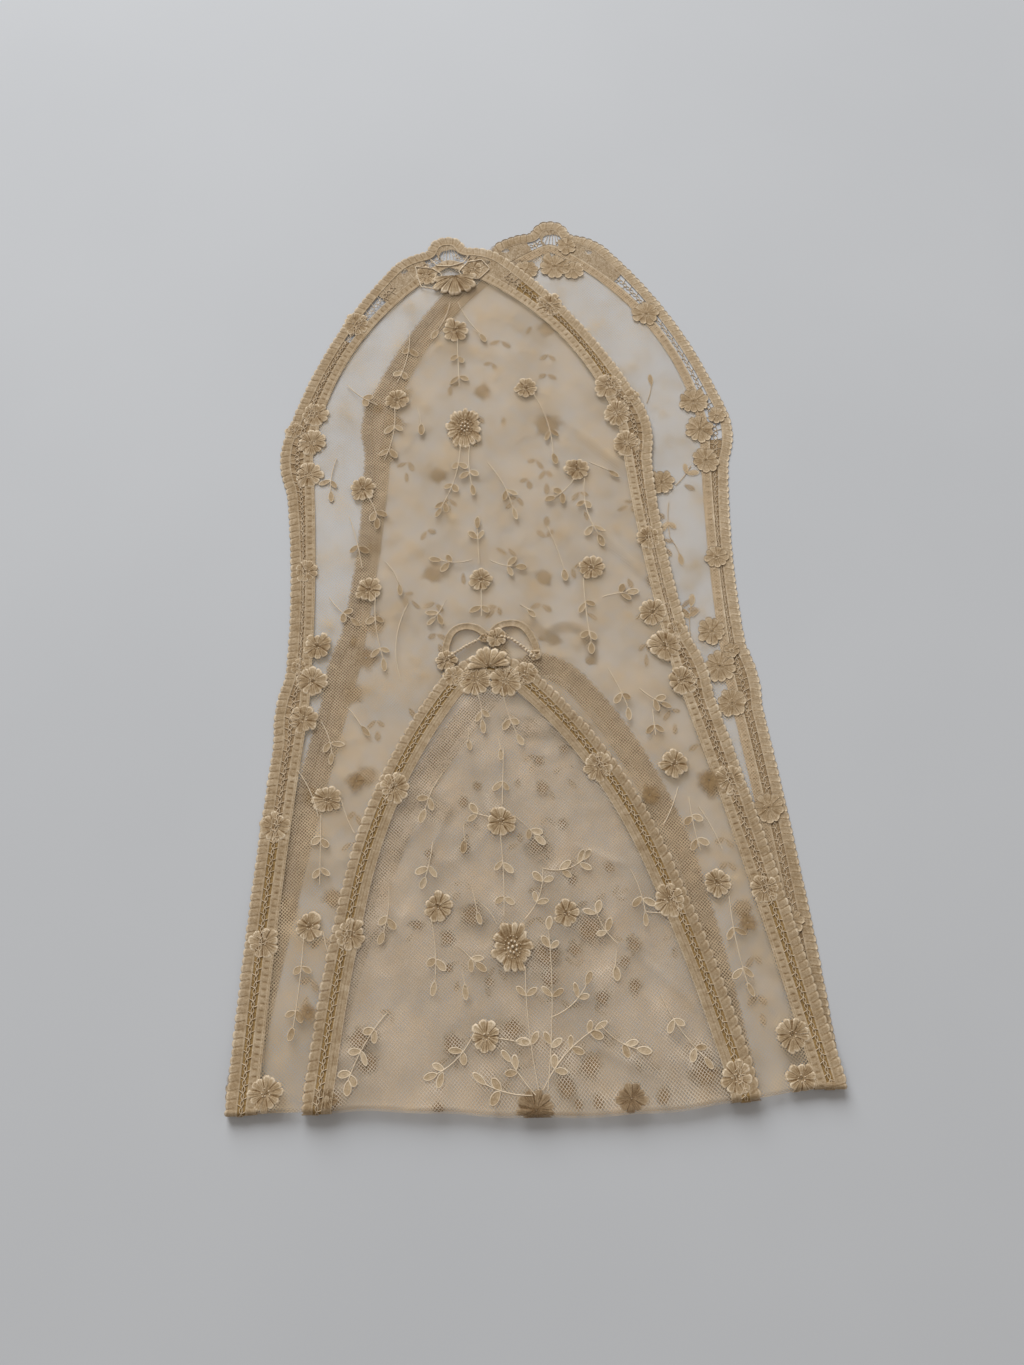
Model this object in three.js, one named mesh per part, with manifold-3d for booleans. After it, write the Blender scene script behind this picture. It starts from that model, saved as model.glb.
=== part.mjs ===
// A lace veil of two tiers, folded in half across its middle and laid flat with its face outwards.
//
// Each tier is one sheet of net with a pointed arch at both ends. A scalloped edge tape and an inner tape
// run round it, and flowers of gathered tape are sewn on the net and on the tapes. The long tier is folded
// first and the short tier is folded round it, so the leaves lie, from the surface up: short back, long
// back, long front, short front. The back leaves show their wrong side.
//
// Units are millimetres, +Z is up, and +Y runs from the fold to the pointed ends. A point of a tier is given
// on its flat sheet, as its distance "across" from the centre line and "along" from the middle. The fold
// crosses the sheet at a slight skew, so the front leaf leans to the left and the back leaf to the right.

import * as THREE from "three";
import { mergeVertices } from "three/addons/utils/BufferGeometryUtils.js";
import Module from "manifold-3d";

const wasm = await Module();
wasm.setup();

// Driving dimensions
const WALL = 1.0; // thickness of net and tape
const GAP = 0.4; // clearance between pieces that lie on each other
const LEAF_PITCH = WALL + GAP;
const FLOWER_HEIGHT = 1.6;
const FOLD_SKEW = THREE.MathUtils.degToRad(3.7);
const FOLD_OFFSET = 6; // the fold lies this far past the middle, so the back leaves are longer
const SHORT_SHIFT = -3; // the short tier lies a little to the left on the long one
const SHORT_BACK_REACH = 0.96; // the short tier's back leaf lies slack, so it reaches less far
const FLUFF = { height: 3, reach: 45 }; // the front leaves stand off at the fold, and settle beyond it
const SETTLE = { from: 345, to: 400 }; // past the short tier, the long tier comes down to the surface
const EDGE_TAPE = { from: 0, to: 8 }; // inset from the edge line
const INNER_TAPE = { from: 11.5, to: 19 }; // inset from the arch line
const CROWN_TAPE = { from: 0, to: 5.5 }; // inset from the crown line
const NET_INSET = 19.6;

// Fineness of the facets
const LINE_STEP = 1;
const TAPE_STEP = 14;
const CROWN_STEP = 5;
const NET_STEP = 25;
const NET_COLUMNS = 4;
const BEND_STEPS = 6;
const APEX_TRIM = 5; // the net stops this far short of its point

// Half outlines, from the middle of the sheet to the point of the arch. Each row is a knot, and the rise of
// the arc from it to the next knot, positive where the arc bows outwards. The long tier's edge line has the
// scallops at hip and shoulder and a fan at the apex, and its inner tape follows a plainer arch. Both tapes of
// the short tier follow one arch.
const LONG_EDGE = [
  { along: 0, across: 200, rise: 2.5 },
  { along: 262, across: 156, rise: 3 },
  { along: 306, across: 146, rise: -3.5 },
  { along: 452, across: 138, rise: 6 },
  { along: 506, across: 133, rise: 8.5 },
  { along: 641, across: 42, rise: 2 },
  { along: 650, across: 15, rise: 4.3 },
  { along: 662, across: 0, rise: 0 },
];
const LONG_ARCH = [
  { along: 0, across: 199, rise: 3 },
  { along: 285, across: 149, rise: -3 },
  { along: 480, across: 136, rise: 27 },
  { along: 655, across: 0, rise: 0 },
];
const SHORT_ARCH = [
  { along: 0, across: 147, rise: 1 },
  { along: 40, across: 141, rise: 1.5 },
  { along: 145, across: 115, rise: 10 },
  { along: 294, across: 34, rise: 3 },
  { along: 312, across: 0, rise: 0 },
];

// The crown past the apex of the short tier: the outer line of a narrow tape, from its right foot over two
// lobes to its left foot.
const CROWN_LINE = [
  { along: 303, across: 40, rise: 2 },
  { along: 325, across: 36, rise: 3.2 },
  { along: 335, across: 19, rise: 2.2 },
  { along: 327, across: 4.5, rise: 2.2 },
  { along: 336, across: -11, rise: 3.2 },
  { along: 326, across: -27, rise: 2 },
  { along: 306, across: -29, rise: 0 },
];

// Flowers of gathered tape. Size is the diameter. Rows of a pair are made on both sides.
const LONG_CENTRE_FLOWERS = [
  { across: 0, along: 576, size: 20, petals: 6 },
  { across: 0, along: 491, size: 31, petals: 9 },
  { across: 0, along: 366, size: 18, petals: 7 },
];
const LONG_SIDE_FLOWERS = [
  { across: 50, along: 519, size: 18, petals: 7 },
  { across: 81, along: 447, size: 19, petals: 7 },
  { across: 82, along: 367, size: 19, petals: 7 },
  { across: 121, along: 216, size: 19, petals: 6 },
  { across: 138, along: 132, size: 18, petals: 6 },
];
const LONG_EDGE_FLOWERS = [
  { across: 77, along: 590, size: 20, petals: 6 },
  { across: 127, along: 386, size: 18, petals: 6 },
  { across: 158, along: 201, size: 19, petals: 6 },
  { across: 169, along: 125, size: 19, petals: 6 },
  { across: 171, along: 31, size: 17, petals: 6 },
];
const LONG_SHOULDER_CLUSTER = [
  { across: 115, along: 512, size: 27, petals: 6 },
  { across: 117, along: 490, size: 27, petals: 6 },
  { across: 119, along: 468, size: 26, petals: 6 },
];
const LONG_HIP_CLUSTER = [
  { across: 124, along: 325, size: 27, petals: 6 },
  { across: 126, along: 303, size: 28, petals: 6 },
  { across: 131, along: 281, size: 27, petals: 6 },
];
const LONG_APEX_CLUSTER = [
  { across: -1, along: 622, size: 25, petals: 8 },
  { across: -17, along: 627, size: 21, petals: 8 },
  { across: 16, along: 627, size: 21, petals: 8 },
];
const SHORT_CENTRE_FLOWERS = [
  { across: 0, along: 190, size: 18, petals: 7 },
  { across: -1, along: 107, size: 31, petals: 9 },
  { across: -48, along: 138, size: 19, petals: 7 },
  { across: 37, along: 125, size: 18, petals: 6 },
  { across: -24, along: 54, size: 18, petals: 6 },
];
const SHORT_EDGE_FLOWERS = [
  { across: 70, along: 221, size: 20, petals: 6 },
  { across: 107, along: 126, size: 20, petals: 6 },
];
const SHORT_CORNER_FLOWER = { across: 133, along: 14, size: 19, petals: 6 };
const SHORT_APEX_CLUSTER = [
  { across: -23, along: 292, size: 18, petals: 8 },
  { across: -8, along: 293, size: 24, petals: 8 },
  { across: 2, along: 306, size: 22, petals: 8 },
  { across: 13, along: 292, size: 24, petals: 8 },
  { across: 29, along: 296, size: 20, petals: 8 },
];

const MATERIALS = {
  net: new THREE.MeshStandardMaterial({
    color: 0xd9cdb8,
    roughness: 0.95,
    metalness: 0,
    transparent: true,
    opacity: 0.5,
  }),
  tape: new THREE.MeshStandardMaterial({ color: 0xc3af8c, roughness: 0.9, metalness: 0 }),
  flower: new THREE.MeshStandardMaterial({ color: 0xbba888, roughness: 0.9, metalness: 0 }),
};

// Leaves, numbered from the surface up
const LEAF = { shortBack: 0, longBack: 1, longFront: 2, shortFront: 3 };
const LONG = {
  front: LEAF.longFront,
  back: LEAF.longBack,
  edge: LONG_EDGE,
  arch: LONG_ARCH,
  shift: 0,
  backReach: 1,
};
const SHORT = {
  front: LEAF.shortFront,
  back: LEAF.shortBack,
  edge: SHORT_ARCH,
  arch: SHORT_ARCH,
  shift: SHORT_SHIFT,
  backReach: SHORT_BACK_REACH,
};

// Height of a leaf's middle surface at a distance y from the fold.
function leafHeight(leaf, y) {
  const isLong = leaf === LEAF.longBack || leaf === LEAF.longFront;
  const isFront = leaf === LEAF.longFront || leaf === LEAF.shortFront;
  const settled = THREE.MathUtils.clamp((y - SETTLE.from) / (SETTLE.to - SETTLE.from), 0, 1);
  const drop = isLong ? LEAF_PITCH * settled : 0;
  const lift = isFront ? FLUFF.height * Math.exp(-y / FLUFF.reach) : 0;
  return WALL / 2 + leaf * LEAF_PITCH - drop + lift;
}

// Radius of a tier's middle surface where it turns round the fold.
function foldRadius(tier) {
  return (leafHeight(tier.front, 0) - leafHeight(tier.back, 0)) / 2;
}

// Signed distance of a point of the sheet from the fold line, positive on the front leaf.
function foldDistance(across, along) {
  return across * Math.sin(FOLD_SKEW) + along * Math.cos(FOLD_SKEW) - FOLD_OFFSET;
}

// Where a point of the flat sheet lies on the folded tier, at a height above the sheet's face.
function place(tier, across, along, height) {
  const x = tier.shift + across * Math.cos(FOLD_SKEW) - along * Math.sin(FOLD_SKEW);
  const q = foldDistance(across, along);
  const radius = foldRadius(tier);
  const bend = (Math.PI / 2) * radius;
  if (q >= bend) return new THREE.Vector3(x, q - bend, leafHeight(tier.front, q - bend) + height);
  if (q <= -bend) {
    const y = (-q - bend) * tier.backReach;
    return new THREE.Vector3(x, y, leafHeight(tier.back, y) - height);
  }
  const middle = leafHeight(tier.back, 0) + radius;
  const turn = q / radius;
  return new THREE.Vector3(
    x,
    -(radius + height) * Math.cos(turn),
    middle + (radius + height) * Math.sin(turn),
  );
}

// Points of the arc between two knots, with their outward normals.
function arcPoints(start, end, rise) {
  const chord = new THREE.Vector2(end.across - start.across, end.along - start.along);
  const length = chord.length();
  const forward = chord.clone().divideScalar(length);
  const outward = new THREE.Vector2(forward.y, -forward.x);
  const middle = new THREE.Vector2((start.across + end.across) / 2, (start.along + end.along) / 2);
  const radius = (length * length / 4 + rise * rise) / (2 * rise);
  const half = Math.asin(length / 2 / radius);
  const centre = middle.clone().addScaledVector(outward, rise - radius);
  const steps = Math.ceil(length / LINE_STEP);
  return Array.from({ length: steps + 1 }, (_, i) => {
    const angle = half * ((2 * i) / steps - 1);
    const normal = outward.clone().multiplyScalar(Math.cos(angle)).addScaledVector(forward, Math.sin(angle));
    const point = centre.clone().addScaledVector(normal, radius);
    return { across: point.x, along: point.y, normal };
  });
}

// A half outline as closely spaced points, from the middle of the sheet to the apex.
function halfLine(knots) {
  return knots.slice(0, -1).flatMap((knot, i) => arcPoints(knot, knots[i + 1], knot.rise));
}

// The same line moved inwards, kept on its own side of the centre line and ended on it.
function insetLine(line, inset) {
  const moved = line.map((p) => ({
    across: p.across - p.normal.x * inset,
    along: p.along - p.normal.y * inset,
  }));
  const kept = moved.filter((p) => p.across > 0);
  const tip = kept[kept.length - 1];
  const crossed = kept.length < moved.length;
  const apexAlong = crossed ? tip.along : line[line.length - 1].along - inset;
  return { points: moved, apex: { across: 0, along: apexAlong } };
}

// Which points of a line carry a row of facets: evenly spaced, and close together round the fold.
function rowChoice(tier, line, side) {
  const bend = (Math.PI / 2) * foldRadius(tier);
  const bendStep = (2 * bend) / BEND_STEPS;
  const chosen = [];
  let last = null;
  line.forEach((p, i) => {
    const q = foldDistance(side * p.across, p.along);
    const nearFold = Math.abs(q) <= bend + bendStep;
    const step = nearFold ? bendStep : TAPE_STEP;
    const travelled = last === null ? Infinity : Math.hypot(p.across - last.across, p.along - last.along);
    if (travelled < step) return;
    chosen.push(i);
    last = p;
  });
  return chosen;
}

// Rows of a tape down one side, from the front apex to the back apex, each from its inner to its outer rim.
function tapeSide(tier, knots, tape, side) {
  const half = halfLine(knots);
  const mirrored = half.map((p) => ({
    across: p.across,
    along: -p.along,
    normal: new THREE.Vector2(p.normal.x, -p.normal.y),
  }));
  const line = [...half.slice().reverse(), ...mirrored.slice(1)];
  const outer = insetLine(line, tape.from).points;
  const inner = insetLine(line, tape.to).points;
  return rowChoice(tier, line, side)
    .filter((i) => inner[i].across > APEX_TRIM / 2 && outer[i].across > APEX_TRIM / 2)
    .map((i) => [inner[i], outer[i]].map((p) => ({ across: side * p.across, along: p.along })));
}

// Rows of a tape all the way round the sheet. It is mitred on the centre line at both points.
function tapeLoop(tier, knots, tape) {
  const half = halfLine(knots);
  const apexRow = [tape.to, tape.from].map((inset) => insetLine(half, inset).apex);
  const footRow = apexRow.map((p) => ({ across: 0, along: -p.along }));
  const right = tapeSide(tier, knots, tape, 1);
  const left = tapeSide(tier, knots, tape, -1);
  return [apexRow, ...right, footRow, ...left.reverse()];
}

// Rows of the crown's tape on the front leaf, or mirrored on the back leaf.
function crownRows(end) {
  const line = halfLine(CROWN_LINE);
  const rims = [CROWN_TAPE.to, CROWN_TAPE.from].map((inset) => insetLine(line, inset).points);
  const steps = Math.round((line.length * LINE_STEP) / CROWN_STEP);
  return Array.from({ length: steps + 1 }, (_, i) => {
    const at = Math.round((i * (line.length - 1)) / steps);
    return rims.map((rim) => ({ across: rim[at].across, along: end * rim[at].along }));
  });
}

// The point of a side line that lies at a given distance from the fold line.
function pointAt(line, side, distance) {
  const withDistance = line.map((p) => ({ ...p, q: foldDistance(side * p.across, p.along) }));
  const i = withDistance.findIndex((p) => p.q <= distance);
  const [a, b] = [withDistance[i - 1], withDistance[i]];
  const share = (a.q - distance) / (a.q - b.q);
  return {
    across: side * THREE.MathUtils.lerp(a.across, b.across, share),
    along: THREE.MathUtils.lerp(a.along, b.along, share),
  };
}

// Rows of the net from the back apex to the front apex, parallel to the fold.
function netRows(tier) {
  const half = insetLine(halfLine(tier.arch), NET_INSET);
  const front = [...half.points.filter((p) => p.across > 0), half.apex];
  const back = front.map((p) => ({ across: p.across, along: -p.along }));
  const line = [...front.reverse(), ...back.slice(1)];
  const bend = (Math.PI / 2) * foldRadius(tier);
  const reach = half.apex.along * Math.cos(FOLD_SKEW) - APEX_TRIM;
  const steps = Math.round(reach / NET_STEP);
  const flat = Array.from({ length: steps + 1 }, (_, i) => bend + ((reach - FOLD_OFFSET - bend) * i) / steps);
  const under = Array.from({ length: steps + 1 }, (_, i) => -bend - ((reach + FOLD_OFFSET - bend) * i) / steps);
  const turning = Array.from({ length: BEND_STEPS - 1 }, (_, i) => -bend + (2 * bend * (i + 1)) / BEND_STEPS);
  return [...under.reverse(), ...turning, ...flat].map((distance) => {
    const [left, right] = [pointAt(line, -1, distance), pointAt(line, 1, distance)];
    return Array.from({ length: NET_COLUMNS + 1 }, (_, j) => ({
      across: THREE.MathUtils.lerp(left.across, right.across, j / NET_COLUMNS),
      along: THREE.MathUtils.lerp(left.along, right.along, j / NET_COLUMNS),
    }));
  });
}

// A closed wall over rows of sheet points, half of its thickness on each side of the middle surface.
function wall(tier, rows, closed) {
  const columns = rows[0].length;
  const face = rows.flat().map((p) => place(tier, p.across, p.along, WALL / 2));
  const back = rows.flat().map((p) => place(tier, p.across, p.along, -WALL / 2));
  const offset = face.length;
  const index = [];
  const quad = (a, b, c, d) => index.push(a, b, c, a, c, d);
  const at = (i, j) => (i % rows.length) * columns + j;
  const bands = closed ? rows.length : rows.length - 1;
  for (let i = 0; i < bands; i++) {
    for (let j = 0; j < columns - 1; j++) {
      const [a, b, c, d] = [at(i, j), at(i, j + 1), at(i + 1, j + 1), at(i + 1, j)];
      quad(a, b, c, d);
      quad(offset + d, offset + c, offset + b, offset + a);
    }
    const last = columns - 1;
    quad(at(i, 0), at(i + 1, 0), offset + at(i + 1, 0), offset + at(i, 0));
    quad(at(i + 1, last), at(i, last), offset + at(i, last), offset + at(i + 1, last));
  }
  if (!closed) {
    const end = rows.length - 1;
    for (let j = 0; j < columns - 1; j++) {
      quad(at(0, j + 1), at(0, j), offset + at(0, j), offset + at(0, j + 1));
      quad(at(end, j), at(end, j + 1), offset + at(end, j + 1), offset + at(end, j));
    }
  }
  return solid([...face, ...back], index);
}

// A geometry from points and triangles, turned the right way out.
function solid(points, index) {
  const volume = index.reduce((sum, _, i) => {
    if (i % 3 !== 0) return sum;
    const [a, b, c] = [points[index[i]], points[index[i + 1]], points[index[i + 2]]];
    return sum + a.dot(b.clone().cross(c)) / 6;
  }, 0);
  const turned = volume < 0 ? index.slice().reverse() : index;
  const geometry = new THREE.BufferGeometry().setFromPoints(points);
  geometry.setIndex(turned);
  geometry.computeVertexNormals();
  return geometry;
}

// A flower of gathered tape on the flat sheet: petals round a dimpled centre, highest at their middles.
function rosette({ across, along, size, petals }) {
  const corners = 2 * petals;
  const ring = (radius, notch, tipHeight, notchHeight) =>
    Array.from({ length: corners }, (_, i) => {
      const isTip = i % 2 === 0;
      const r = radius * (isTip ? 1 : notch);
      const angle = Math.PI / 2 + (2 * Math.PI * i) / corners;
      const height = isTip ? tipHeight : notchHeight;
      return new THREE.Vector3(across + r * Math.cos(angle), along + r * Math.sin(angle), height);
    });
  const radius = size / 2;
  const rings = [
    ring(radius, 0.84, 0, 0),
    ring(radius, 0.84, 0.55 * FLOWER_HEIGHT, 0.4 * FLOWER_HEIGHT),
    ring(0.6 * radius, 0.9, FLOWER_HEIGHT, 0.65 * FLOWER_HEIGHT),
  ];
  const points = [
    ...rings.flat(),
    new THREE.Vector3(across, along, 0),
    new THREE.Vector3(across, along, 0.5 * FLOWER_HEIGHT),
  ];
  const under = rings.length * corners;
  const index = [];
  for (let i = 0; i < corners; i++) {
    const next = (i + 1) % corners;
    index.push(under, next, i);
    for (let r = 0; r < rings.length - 1; r++) {
      const [a, b] = [r * corners + i, r * corners + next];
      index.push(a, b, b + corners, a, b + corners, a + corners);
    }
    const top = (rings.length - 1) * corners;
    index.push(top + i, top + next, under + 1);
  }
  return solid(points, index);
}

function toManifold(geometry) {
  const bare = geometry.clone();
  bare.deleteAttribute("normal");
  const merged = mergeVertices(bare);
  return new wasm.Manifold(
    new wasm.Mesh({
      numProp: 3,
      vertProperties: merged.attributes.position.array,
      triVerts: new Uint32Array(merged.index.array),
    }),
  );
}

// Flowers that overlap are sewn into one cluster.
function cluster(flowers) {
  const joined = flowers.map((f) => toManifold(rosette(f))).reduce((a, b) => a.add(b));
  const mesh = joined.getMesh();
  const points = Array.from({ length: mesh.numVert }, (_, i) =>
    new THREE.Vector3().fromArray(mesh.vertProperties, i * mesh.numProp),
  );
  return solid(points, Array.from(mesh.triVerts));
}

// A flower's geometry moved from the flat sheet onto the face of its tier.
function sewn(tier, geometry) {
  const position = geometry.getAttribute("position");
  for (let i = 0; i < position.count; i++) {
    const height = WALL / 2 + GAP + position.getZ(i);
    const p = place(tier, position.getX(i), position.getY(i), height);
    position.setXYZ(i, p.x, p.y, p.z);
  }
  geometry.computeVertexNormals();
  return geometry;
}

const folded = new THREE.Group();

function addPiece(name, geometry, material) {
  const mesh = new THREE.Mesh(geometry, material);
  mesh.name = name;
  folded.add(mesh);
}

function addFlowers(tier, name, flowers) {
  flowers.forEach((f, i) => addPiece(`${name}_${i + 1}`, sewn(tier, rosette(f)), MATERIALS.flower));
}

function onSide(flowers, side) {
  return flowers.map((f) => ({ ...f, across: side * f.across }));
}

function addCluster(tier, name, flowers) {
  addPiece(name, sewn(tier, cluster(flowers)), MATERIALS.flower);
}

for (const [name, tier] of [["long", LONG], ["short", SHORT]]) {
  addPiece(`${name}_net`, wall(tier, netRows(tier), false), MATERIALS.net);
  addPiece(`${name}_edge_tape`, wall(tier, tapeLoop(tier, tier.edge, EDGE_TAPE), true), MATERIALS.tape);
  addPiece(`${name}_inner_tape`, wall(tier, tapeLoop(tier, tier.arch, INNER_TAPE), true), MATERIALS.tape);
}

for (const [name, end] of [["front", 1], ["back", -1]]) {
  addPiece(`short_${name}_crown`, wall(SHORT, crownRows(end), false), MATERIALS.tape);
}

for (const [sideName, side] of [["left", -1], ["right", 1]]) {
  addFlowers(LONG, `long_side_flower_${sideName}`, onSide(LONG_SIDE_FLOWERS, side));
  addFlowers(LONG, `long_edge_flower_${sideName}`, onSide(LONG_EDGE_FLOWERS, side));
  addCluster(LONG, `long_shoulder_cluster_${sideName}`, onSide(LONG_SHOULDER_CLUSTER, side));
  addCluster(LONG, `long_hip_cluster_${sideName}`, onSide(LONG_HIP_CLUSTER, side));
  addFlowers(SHORT, `short_edge_flower_${sideName}`, onSide(SHORT_EDGE_FLOWERS, side));
}
addFlowers(LONG, "long_centre_flower", LONG_CENTRE_FLOWERS);
addCluster(LONG, "long_apex_cluster", LONG_APEX_CLUSTER);
addFlowers(SHORT, "short_centre_flower", SHORT_CENTRE_FLOWERS);
addFlowers(SHORT, "short_corner_flower", [SHORT_CORNER_FLOWER]);
addCluster(SHORT, "short_apex_cluster", SHORT_APEX_CLUSTER);

// The origin is at the middle of the underside.
const box = new THREE.Box3().setFromObject(folded);
const middle = box.getCenter(new THREE.Vector3());
folded.position.set(-middle.x, -middle.y, -box.min.z);

const veil = new THREE.Group();
veil.add(folded);

export default veil;
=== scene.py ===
"""The looks of a two-tier lace veil, folded across its middle and lying flat on a pale surface.

Lengths are in millimetres until a mesh is made. A point of a tier is given on its flat sheet, by its
distance "across" from the centre line, "along" from the middle, and "height" above the face. place() lays
it on the folded tier. Leaves and stems are given where they lie: x along the fold, y from the fold.
"""

import math
from functools import partial

import bpy
import numpy as np
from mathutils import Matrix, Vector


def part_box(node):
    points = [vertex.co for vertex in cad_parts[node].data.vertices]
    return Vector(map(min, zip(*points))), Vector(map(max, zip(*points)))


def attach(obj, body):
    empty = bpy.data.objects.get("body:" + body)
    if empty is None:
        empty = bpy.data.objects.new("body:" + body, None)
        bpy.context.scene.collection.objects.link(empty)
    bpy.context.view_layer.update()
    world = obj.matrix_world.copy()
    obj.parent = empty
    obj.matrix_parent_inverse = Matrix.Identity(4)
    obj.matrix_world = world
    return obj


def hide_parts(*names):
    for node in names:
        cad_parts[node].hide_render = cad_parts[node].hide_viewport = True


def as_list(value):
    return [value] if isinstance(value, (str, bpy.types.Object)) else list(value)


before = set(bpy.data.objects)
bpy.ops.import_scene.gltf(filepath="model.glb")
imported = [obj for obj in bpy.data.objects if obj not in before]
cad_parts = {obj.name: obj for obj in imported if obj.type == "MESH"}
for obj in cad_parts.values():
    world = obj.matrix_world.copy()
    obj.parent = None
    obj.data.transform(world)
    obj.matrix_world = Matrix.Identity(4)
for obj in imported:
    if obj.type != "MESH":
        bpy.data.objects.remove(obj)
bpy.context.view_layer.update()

MM = 0.001
TURN = 2 * math.pi

# How the sheets are folded
SKEW = math.radians(3.7)
COS, SIN = math.cos(SKEW), math.sin(SKEW)
FOLD_OFFSET = 6.0
SHORT_SHIFT = -3.0
SHORT_BACK_REACH = 0.96
FLUFF_HEIGHT, FLUFF_REACH = 5.0, 40.0
SMOOTH_REACH = 15.0
SAG_DEPTH, SAG_MIDDLE, SAG_WIDTH, SAG_REACH = 10.0, 40.0, 95.0, 30.0

# Heights of the leaves' net above what lies under it
SHORT_BACK_HEIGHT = 0.8
LONG_BACK_STEP = 1.3
LONG_FRONT_STEP = 1.2
SHORT_FRONT_STEP = 1.4
LOOSE_FLAP_HEIGHT = 0.7
SETTLE_START, SETTLE_END = 2.0, 30.0
LOWEST = 0.1

# Half outlines, middle of the sheet to the point: across, along, and rise of the arc to the next knot
LONG_EDGE = [
    (200, 0, 2.5), (156, 262, 3), (146, 306, -3.5), (138, 452, 6), (133, 506, 8.5), (42, 641, 2),
    (15, 650, 4.3), (0, 662, 0),
]
LONG_ARCH = [(199, 0, 3), (149, 285, -3), (136, 480, 27), (0, 655, 0)]
SHORT_ARCH = [(147, 0, 1), (141, 40, 1.5), (115, 145, 10), (34, 294, 3), (0, 312, 0)]

# The crown past the point of the short tier, from its right foot over two lobes to its left foot
CROWN_LINE = [
    (40, 303, 2), (36, 325, 3.2), (19, 335, 2.2), (4.5, 327, 2.2), (-11, 336, 3.2), (-27, 326, 2),
    (-29, 306, 0),
]
CROWN_HALF = 2.75
CROWN_SINK = 1.1
CROWN_PITCH, CROWN_STEPS, KNOT_PITCH = 2.4, 6, 2.3
CROWN_CHAINS = [[(-25, 312), (-19, 315), (-11, 319), (-3, 322)], [(14, 323), (21, 320), (29, 313), (35, 305)]]

# The border, as insets from those lines
EDGE_MIDDLE, EDGE_HALF = 4.0, 4.0
INNER_MIDDLE, INNER_HALF = 15.2, 3.8
NET_INSET = 13.0
LADDER_PITCH = 4.0
LADDER_STEPS = 12
LADDER_REACH = 11.0
APEX_FROM = 560
LADDER_EASE = {"long": 0.2, "short": 0.8}

# How much nearer the fold the long back leaf's flowers are than the front leaf's
BACK_SHIFT = 12.0

# Creases pressed into the front leaves: x, y of both ends, height and width
LONG_CREASES = [
    (38, 420, 102, 348, 1.8, 3.0), (34, 493, 94, 432, 1.6, 3.0), (-60, 600, -120, 470, 0.5, 6.0),
    (-86, 343, -86, 285, 0.5, 2.5),
]
SHORT_CREASES = [
    (-34, 225, -104, 68, 0.8, 2.4), (60, 95, 118, 44, 1.0, 2.8), (30, 161, 74, 141, 1.0, 2.0),
    (30, 36, 92, 8, 1.0, 2.6), (76, 44, 114, 2, 0.9, 1.8), (-62, 70, -78, 128, 0.8, 2.0),
]

rng = np.random.default_rng(11)


def ramp(low, high, value):
    t = np.clip((value - low) / (high - low), 0, 1)
    return t * t * (3 - 2 * t)


def bell(value, centre, width):
    return np.exp(-(((value - centre) / width) ** 2))


def round_tip(phase):
    """The half circle of a lobe whose sides are at phases -1 and 1."""
    return np.sqrt(np.clip(1 - phase**2, 0, 1))


def arc_line(knots, step=1.0):
    """Closely spaced points of a line of arcs."""
    rows = []
    for (a0, s0, rise), (a1, s1, _) in zip(knots, knots[1:]):
        start, end = np.array([a0, s0], float), np.array([a1, s1], float)
        length = np.hypot(*(end - start))
        forward = (end - start) / length
        outward = np.array([forward[1], -forward[0]])
        radius = (length**2 / 4 + rise**2) / (2 * rise)
        half = math.asin(length / 2 / radius)
        centre = (start + end) / 2 + outward * (rise - radius)
        angle = np.linspace(-half, half, max(3, int(length / step)), endpoint=False)[:, None]
        rows.append(centre + radius * (outward * np.cos(angle) + forward * np.sin(angle)))
    last = np.array([knots[-1][:2]], float)
    return np.concatenate(rows + [last])


def inset(line, distance):
    """A line moved to the left of its course, which is inwards on an outline."""
    return line + distance * left_normals(line, closed=False)


def inset_half(knots, distance):
    """A half outline moved inwards and ended on the centre line."""
    moved = inset(arc_line(knots), distance)
    kept = moved[moved[:, 0] > 0.5]
    return np.concatenate([kept, [[0.0, kept[-1, 1]]]])


def whole_loop(half):
    """The closed line round the sheet: down the right side from the front point, and up the left."""
    right = np.concatenate([half[::-1], half[1:] * (1, -1)])
    return np.concatenate([right, right[-2:0:-1] * (-1, 1)])


def walk(line, count, closed):
    """A line cut into even steps."""
    whole = np.concatenate([line, line[:1]]) if closed else line
    reach = np.concatenate([[0], np.cumsum(np.linalg.norm(np.diff(whole, axis=0), axis=1))])
    at = np.linspace(0, reach[-1], count, endpoint=not closed)
    return np.stack([np.interp(at, reach, whole[:, k]) for k in range(whole.shape[1])], axis=1)


def evenly(loop, count, soften=3.0):
    """A closed line cut into even steps, with its corners softened over a few millimetres."""
    fine = walk(loop, len(loop), True)
    spread = int(3 * soften)
    offsets = np.arange(-spread, spread + 1)
    weights = bell(offsets, 0, 1.4 * soften)
    rounded = sum(w * np.roll(fine, k, axis=0) for w, k in zip(weights / weights.sum(), offsets))
    return walk(rounded, count, True)


def line_length(line, closed=True):
    whole = np.concatenate([line, line[:1]]) if closed else line
    return np.linalg.norm(np.diff(whole, axis=0), axis=1).sum()


def left_normals(line, closed=True):
    """Unit normals to the left of a line's course, which is outwards on a whole loop."""
    if closed:
        ahead = np.roll(line, -1, axis=0) - np.roll(line, 1, axis=0)
    else:
        ahead = np.gradient(line, axis=0)
    ahead = ahead / np.linalg.norm(ahead, axis=1, keepdims=True)
    return np.stack([-ahead[:, 1], ahead[:, 0]], axis=1)


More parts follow.
